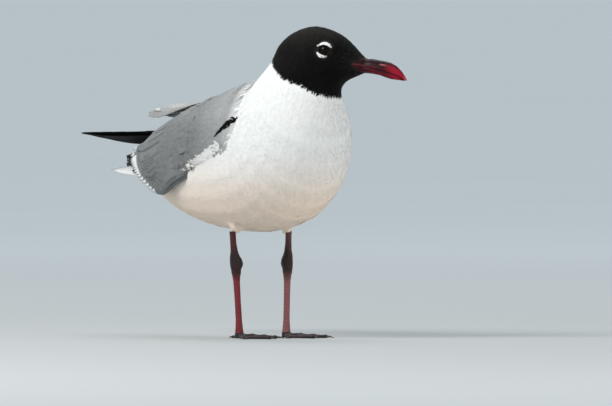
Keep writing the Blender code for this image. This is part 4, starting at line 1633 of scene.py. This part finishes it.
# %% Front of the wing
front_finish = Finish("wing_front_feather", Roughness=0.8).matt()
base = front_finish.mix(front_finish.attribute("pale"), GREY, WHITE)
front_finish.set("Base Color", front_finish.tone(base, front_finish.attribute("shade") * 0.06 + 0.94))
front_finish.bump(front_finish.noise(2500.0, 2.0), 0.12 * MM)
roots, normals = strew(skin, 1.5 * MM, lambda p, n: slate_share(p) > 0.04, seed=9)
keep = (from_front(roots) < 13.0) & (body_places(roots)[:, 1] < 40.0)
roots, normals = roots[keep], normals[keep]
front_coat = lay("wing_front_coat", SOFT, whole, roots, normals, 6.5 * MM, 2.8 * MM, 0.4 * MM,
                 flows=slate_lie(roots, normals))
give_attribute(front_coat, "pale", pale_edge_and_top_light(positions(front_coat)))
wear(front_coat, front_finish)

# %% [markdown]
# ## Dark gap and white fringe
#
# At the bend of the wing the feathers part, and the shade in that gap is painted: a narrow row of
# small black tufts along a short line stands in for it. Along the wing's low edge soft white feathers
# of the flank curl up over it.
# They are rooted below that edge, on the skin and on the beds, and point back and slightly up.

# %% Dark gap
# Line of the gap at the bend of the right wing, its front, middle and rear end in body axes (mm).
GAP = ((-42.5, -31.0, 159.0), (-47.0, -21.0, 152.5), (-49.5, -12.0, 148.0))
GAP_LENGTH = 0.8                    # share of that line which has tufts
# Painted shade: black tufts stand in for the shadow in the gap at the wing's bend.
gap_shadow_finish = Finish("gap_shadow_tuft", Roughness=0.8).matt(0.08)
gap_shadow_finish.set("Base Color", gap_shadow_finish.mix(gap_shadow_finish.noise(300.0), HOOD_BLACK, (0.006, 0.006, 0.006)))
dressed = Surface(skin, *beds.values(), *rear_feathers.values(), *tiles.values(), front_coat)
roots, normals, flows, sizes = [], [], [], []
for mirror in (1.0, -1.0):
    ends = [np.array(BODY + Vector((x * mirror, y, z)) * MM) for x, y, z in GAP]
    for part in np.linspace(0.0, GAP_LENGTH, 26):
        place = sum(weight * end for weight, end in zip(curve_weights(part), ends))
        hit, normal, _, _ = whole.tree.find_nearest(Vector(place))
        flow = ends[2] - ends[0]
        normal = np.array(normal)
        for _ in range(4):
            aside = dice.normal(0, 0.7 * (1.1 - part), 3) * MM
            roots.append(np.array(hit) + aside - normal * aside.dot(normal))
            normals.append(normal)
            flows.append(flow)
            sizes.append(1.0 - 0.75 * part)
normals, flows, sizes = np.array(normals), np.array(flows), np.array(sizes)
flows = laid_flat(flows, normals)
roots, _ = dressed.outermost(np.array(roots), normals, 4.0 * MM)
coat = lay("wing_gap_shadow_tufts", SOFT, dressed, roots + normals * 0.4 * MM, normals, 5.0 * MM,
           4.2 * MM * sizes, 0.12 * MM, flows=flows, sink=0.0, wander=0.1)
wear(coat, gap_shadow_finish)

# %% White fringe of the flank
FRINGE_SPACING = 0.95 * MM
FRINGE_ENDS = (-24.0, 36.0)         # mm along the body
# Where it starts on the wing, in shares of the wing's height, at places along the body (mm).
FRINGE_EDGE = ((-22.0, 0.96), (0.0, 0.98), (20.0, 1.0), (36.0, 1.04))
FRINGE_HEIGHT = 0.30                # in the same shares
FRINGE_LIE = np.array((0.0, 1.0, 0.22))
found = [strew(skin, FRINGE_SPACING, lambda p, n: slate_share(p) > 0.0, seed=15)]
found += [strew(obj, FRINGE_SPACING, outer_root, seed=16) for obj in beds.values()]
roots, normals = (np.concatenate(column) for column in zip(*found))
at = body_places(roots)
height = wing_places(roots)[0]
edge = read(FRINGE_EDGE, at[:, 1]) + 0.02 * ripple(at, 9.0) + 0.015 * ripple(at, 3.0)
keep = (height > edge) & (height < edge + FRINGE_HEIGHT)
keep &= (at[:, 1] > FRINGE_ENDS[0]) & (at[:, 1] < FRINGE_ENDS[1])
keep &= (np.abs(at[:, 0]) > 20) & (normals[:, 2] > -0.75)
roots, normals = over_blades.outermost(roots[keep], normals[keep], 8.0 * MM)
fringe = lay("flank_fringe", SOFT, over_blades, roots + normals * 0.9 * MM, normals, 8.0 * MM,
             2.4 * MM, 0.7 * MM, flows=laid_flat(FRINGE_LIE, normals), sink=0.9, reach=8.0)
give_attribute(fringe, "high", highness(positions(fringe)))
wear(fringe, white_finish)

# %% [markdown]
# ## Bill
#
# The two halves of the bill are horn. Copies of the solids are remeshed finely and smoothed, and
# the nostril is pressed into the upper one. The colour runs from near black on the ridge to deep
# red below and at the tip.

# %% Finish of the horn
horn_finish = Finish("bill_horn", Roughness=0.34, Coat_Weight=0.02, Coat_Roughness=0.3).matt(0.1)
cloud = horn_finish.noise(260.0, 4.0)
red = (horn_finish.attribute("red") * 1.15 + cloud * 0.4 - 0.25).held()
horn = horn_finish.mix(red, (0.020, 0.0045, 0.0065), (0.30, 0.0085, 0.024))
# The pale attribute holds painted light, light through the nostril and a highlight above the mouth, besides
# the paler tip.
horn = horn_finish.mix(horn_finish.attribute("pale"), horn, (0.50, 0.15, 0.16))
# The line attribute is painted shade: dark in the crease of the mouth and over the nostril's slot.
horn_finish.set("Base Color", horn_finish.mix(horn_finish.attribute("line"), horn, (0.006, 0.002, 0.002)))
growth = horn_finish.noise(420.0, 3.0, vector=horn_finish.stretched(0.5, 0.5, 1.6))
horn_finish.bump(growth, 0.10 * MM)
horn_finish.set("Roughness", growth * 0.2 + 0.26)
print("horn is painted with", len(horn_finish.tree.nodes), "nodes")

# %% Shape of the bill
# Mouth line in head axes: distance ahead, height (mm).
MOUTH = ((36.0, 198.9), (46.6, 198.2), (52.0, 197.4), (58.8, 196.5), (65.0, 195.6), (70.3, 194.3),
         (75.6, 192.8), (81.6, 190.8), (85.0, 188.4), (94.0, 182.4))
BILL_SWELL = 0.5                    # mm, while the bill is fused
PROUD = 0.3                         # mm, bare horn stands so far out of the skin at its root
SUNK = -1.0                         # mm, and under feathers it lies so far below it


def whole_bill():
    """Both halves of the bill, fused with the front of the head that carries them. Behind the
    bill the horn follows the skin: a little proud of it where it is bare, sunk where feathers
    grow."""
    root = merged_copy("bill_root", "head")
    trim(root, from_head @ Vector((0.0, -44.0 * MM, 0.2)), HEAD_AHEAD)
    bill = merged_copy("bill", "upper_bill", "lower_bill")
    root_bill(bill)
    join(bill, root)
    swell(bill, BILL_SWELL * MM)
    even_surface(bill, 0.40 * MM, 4)
    swell(bill, (0.08 - BILL_SWELL) * MM)
    places = positions(bill)
    at = head_places(places)
    near_root = 1 - smoothstep(BILL_BASE, SKIN_END, -at[:, 1])
    above = (PROUD - SUNK) * gape_share(at) + SUNK
    under = Surface(skin)
    for i in np.nonzero(near_root > 0.0)[0]:
        hit, normal, _, gap = under.tree.find_nearest(Vector(places[i]))
        if gap < 2.6 * MM:
            goal = np.array(hit + normal * above[i] * MM)
            places[i] += (goal - places[i]) * near_root[i]
    move_to(bill, places)
    return bill


bill = whole_bill()
print("the bill has", len(bill.data.polygons), "faces")

# %% Its two halves
def mouth_block(sign):
    """A block that fills the side of the mouth line that the sign points to."""
    work = bmesh.new()
    rings = []
    for ahead, height in MOUTH:
        ring = []
        for side_x, rise in ((-15, 0.1), (15, 0.1), (15, 30.0), (-15, 30.0)):
            place = Vector((side_x, -ahead, height + sign * rise)) * MM
            ring.append(work.verts.new(from_head @ place))
        rings.append(ring)
    for first, second in zip(rings, rings[1:]):
        for k in range(4):
            work.faces.new((first[k], first[(k + 1) % 4], second[(k + 1) % 4], second[k]))
    work.faces.new(rings[0])
    work.faces.new(rings[-1])
    bmesh.ops.recalc_face_normals(work, faces=work.faces)
    return mesh_object("mouth_block", work)


def bill_half(bill, name, sign):
    """The part of the bill above or below the mouth line, its edge drawn in a little."""
    half = bill.copy()
    half.data = bill.data.copy()
    half.name = name
    bpy.context.scene.collection.objects.link(half)
    block = mouth_block(sign)
    apply_modifier(half, "BOOLEAN", operation="INTERSECT", solver="MANIFOLD", object=block)
    bpy.data.objects.remove(block, do_unlink=True)
    places = positions(half)
    at = head_places(places)
    over = sign * (at[:, 2] - read(MOUTH, -at[:, 1]))
    tuck = 0.4 * np.exp(-(over / 0.5) ** 2)
    side_x = np.sign(at[:, 0]) * smoothstep(0.8, 1.6, np.abs(at[:, 0]))
    move_to(half, places - np.outer(side_x * tuck * MM, HEAD_LEFT))
    return half


halves = {"upper_bill": bill_half(bill, "upper_bill_horn", 1.0),
          "lower_bill": bill_half(bill, "lower_bill_horn", -1.0)}
bpy.data.objects.remove(bill, do_unlink=True)
print("cut along a mouth line of", len(MOUTH), "points")

# %% Nostril and colours of the horn
NOSTRIL = (69.0, 199.1)             # mm ahead and up
# Height of the border between dark and red on the upper half, at distances ahead (mm).
RED_EDGE = ((70, 200.0), (76, 198.2), (80, 196.3), (84, 192.8), (88, 188.5))
for node, half in halves.items():
    upper = node == "upper_bill"
    at = head_places(positions(half))
    ahead, height, side_x = -at[:, 1], at[:, 2], np.abs(at[:, 0])
    over = np.abs(height - read(MOUTH, ahead))
    edge = 1 - smoothstep(0.1, 0.45, over)

    # The nostril is a slanting slot, pressed into both sides of the upper half.
    slant = height - NOSTRIL[1] + (ahead - NOSTRIL[0]) * 0.16
    slot = np.exp(-((ahead - NOSTRIL[0]) / 3.0) ** 4 - (slant / 0.55) ** 2) * upper
    slot *= smoothstep(1.5, 3.0, side_x)
    move_to(half, positions(half) - np.outer(np.sign(at[:, 0]) * slot * 0.8 * MM, HEAD_LEFT))

    if upper:
        # Red from the middle on and at the tip, dark on the ridge, pale where light comes through
        # the nostril, a painted highlight on the lit rim just above the mouth, and painted shade in dark
        # lines over the nostril and along the mouth.
        red = 1 - smoothstep(-0.8, 1.4, height - read(RED_EDGE, ahead))
        red = smoothstep(68.5, 79.0, ahead) * red
        red = np.maximum(red * 0.85, 0.22 * (1 - smoothstep(0.8, 2.2, over)))
        red = np.maximum(red, 0.9 * smoothstep(84.5, 87.0, ahead))
        pale = 0.55 * smoothstep(84.5, 87.4, ahead)
        # A painted highlight on the lit rim just above the mouth.
        ridge_highlight = np.exp(-((over - 1.5) / 0.45) ** 2) * (1 - smoothstep(60, 72, ahead))
        pale = np.maximum(pale, 0.10 * ridge_highlight * smoothstep(47, 50, ahead))
        lit = np.exp(-((ahead - NOSTRIL[0] - 0.6) / 2.3) ** 4 - ((slant + 0.15) / 0.4) ** 2)
        pale = np.maximum(pale, lit * smoothstep(1.5, 3.0, side_x))
        crease_shade = np.maximum(edge * 0.8, np.exp(-((ahead - NOSTRIL[0]) / 4.2) ** 2
                                                   - ((slant - 0.9) / 0.5) ** 2) * 0.55)
    else:
        # Redder towards the bill's angle, darker from there to the tip and along the mouth, with painted
        # shade in the crease of the mouth line.
        red = 0.10 + 0.20 * smoothstep(54, 66, ahead) + 0.50 * smoothstep(70, 80, ahead)
        red -= 0.35 * smoothstep(80, 86, ahead)
        red -= 0.25 * (1 - smoothstep(0.6, 1.6, over)) * smoothstep(60, 66, ahead)
        pale = np.zeros(len(at))
        crease_shade = edge * 0.9
    give_attribute(half, "red", np.clip(red, 0, 1))
    give_attribute(half, "pale", np.clip(pale, 0, 1))
    give_attribute(half, "line", np.clip(crease_shade, 0, 1))
    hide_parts(node)
    wear(half, horn_finish)

# %% [markdown]
# ## Legs and feet
#
# Bare legs are covered with small horny plates. The form comes from the solids, fused and
# smoothed; the plates are relief, ranked down the leg. The left leg is the paler one. The claws are
# small hooks of dark horn, rounded from their solids.

# %% Finishes of legs, feet and claws
def scale_finish(name, dark, light, **constants):
    """Horny skin with cross plates."""
    finish = Finish(name, **constants)
    cloud = finish.noise(180.0, 4.0)
    mixed = (finish.attribute("joint") * 0.9 + cloud * 0.5 - 0.2).held()
    plate = (finish.place(2) * 2400.0 + finish.noise(300.0, 1.0) * 2.0).sine()
    edge = plate.ramp(0.55, 1.0)
    colour = finish.mix(mixed, light, dark)
    finish.set("Base Color", finish.tone(colour, 1.0 - edge * 0.2))
    fine = finish.node("ShaderNodeTexVoronoi", {"Vector": finish.place(), "Scale": 1100.0},
                       feature="DISTANCE_TO_EDGE")
    finish.bump(fine.ramp(0.0, 0.14) * 0.5 - edge * 0.6, 0.18 * MM)
    return finish


leg_finishes = {
    "right": scale_finish("right_leg_plates", (0.011, 0.004, 0.0045), (0.20, 0.018, 0.026),
                          Roughness=0.42).matt(0.3),
    "left": scale_finish("left_leg_plates", (0.014, 0.007, 0.0075), (0.29, 0.105, 0.105),
                         Roughness=0.45).matt(0.3),
}
foot_finish = scale_finish("foot_plates", (0.008, 0.006, 0.0065), (0.045, 0.020, 0.019),
                           Roughness=0.45).matt(0.35)
claw_finish = Finish("claw_horn", Roughness=0.3)
claw_finish.set("Base Color", claw_finish.mix(claw_finish.noise(500.0), (0.006, 0.005, 0.005),
                                              (0.022, 0.018, 0.016)))
claw_finish.bump(claw_finish.noise(900.0, 2.0), 0.1 * MM)
print("plates are painted with", len(foot_finish.tree.nodes), "nodes")

# %% Legs
LEG_SHIFT = 2.6                     # mm, both legs stand this far to the left of the middle line
ANKLE_X = 22.5                      # mm from there to an ankle
ANKLE_Z = 55.0                      # mm, the middle of the ankle's knob
PINCH_Z = 49.5                      # mm, the narrow place below it
# How far the shin leans out at its top (mm), and how much the ankle is thickened.
STANCE = {"right": (3.1, 1.16), "left": (1.1, 1.03)}


def make_leg(side):
    """One leg, from the thigh's feathers to the foot."""
    leg = merged_copy(f"{side}_leg", f"{side}_shin", f"{side}_tarsus")
    swell(leg, 0.25 * MM)
    even_surface(leg, 0.42 * MM, 3)
    swell(leg, 0.1 * MM)

    # The ankle is a thick knob with a narrow place below it, and the shin leans out above it.
    places = positions(leg)
    height = places[:, 2] / MM
    sign = SIDES[side]
    lean, bulk = STANCE[side]
    middle_x = BODY.x + (LEG_SHIFT + sign * ANKLE_X) * MM
    knob = np.exp(-((height - ANKLE_Z) / 3.6) ** 4)
    pinch = 1.0 - 0.10 * np.exp(-((height - PINCH_Z) / 1.6) ** 2)
    grow = (1.0 + (bulk - 1.0) * knob) * pinch
    places[:, 0] = middle_x + (places[:, 0] - middle_x) * grow
    places[:, 0] += sign * (lean * np.clip((height - 54.0) / 20.0, 0, 1.1) - 0.5 * knob) * MM

    # The leg reaches a little way into the foot and up into the coat.
    places[:, 2] -= 1.6 * MM * (1 - smoothstep(6.0, 14.0, places[:, 2] / MM))
    places[:, 2] += 3.0 * MM * smoothstep(68.0, 73.0, places[:, 2] / MM)
    move_to(leg, places)

    # It is darkest round the ankle.
    joint = smoothstep(38, 50, height + ripple(places, 4.0 * MM)) ** 1.5
    give_attribute(leg, "joint", joint * (1 - 0.28 * smoothstep(60, 70, height)))
    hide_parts(f"{side}_shin", f"{side}_tarsus")
    wear(leg, leg_finishes[side])


print("the shins lean out by", [lean for lean, _ in STANCE.values()], "mm")

# %% Feet and claws
def make_foot(side):
    """One webbed foot, flat on the floor."""
    foot = merged_copy(f"{side}_webbed_foot", f"{side}_foot")
    even_surface(foot, 0.42 * MM, 2)
    toes = positions(foot)
    toes[:, 2] = np.maximum(toes[:, 2], 0.0)
    move_to(foot, toes)
    give_attribute(foot, "joint", 0.5 + 0.5 * ripple(toes / MM, 5.0))
    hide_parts(f"{side}_foot")
    wear(foot, foot_finish)


def make_claws(side):
    """The four claws of one foot."""
    names = [f"{side}_{toe}_claw" for toe in ("inner", "middle", "outer", "hind")]
    claws = merged_copy(f"{side}_claws", *names)
    apply_modifier(claws, "SUBSURF", levels=2, render_levels=2)
    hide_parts(*names)
    wear(claws, claw_finish)


for side in SIDES:
    make_leg(side)
    make_foot(side)
    make_claws(side)
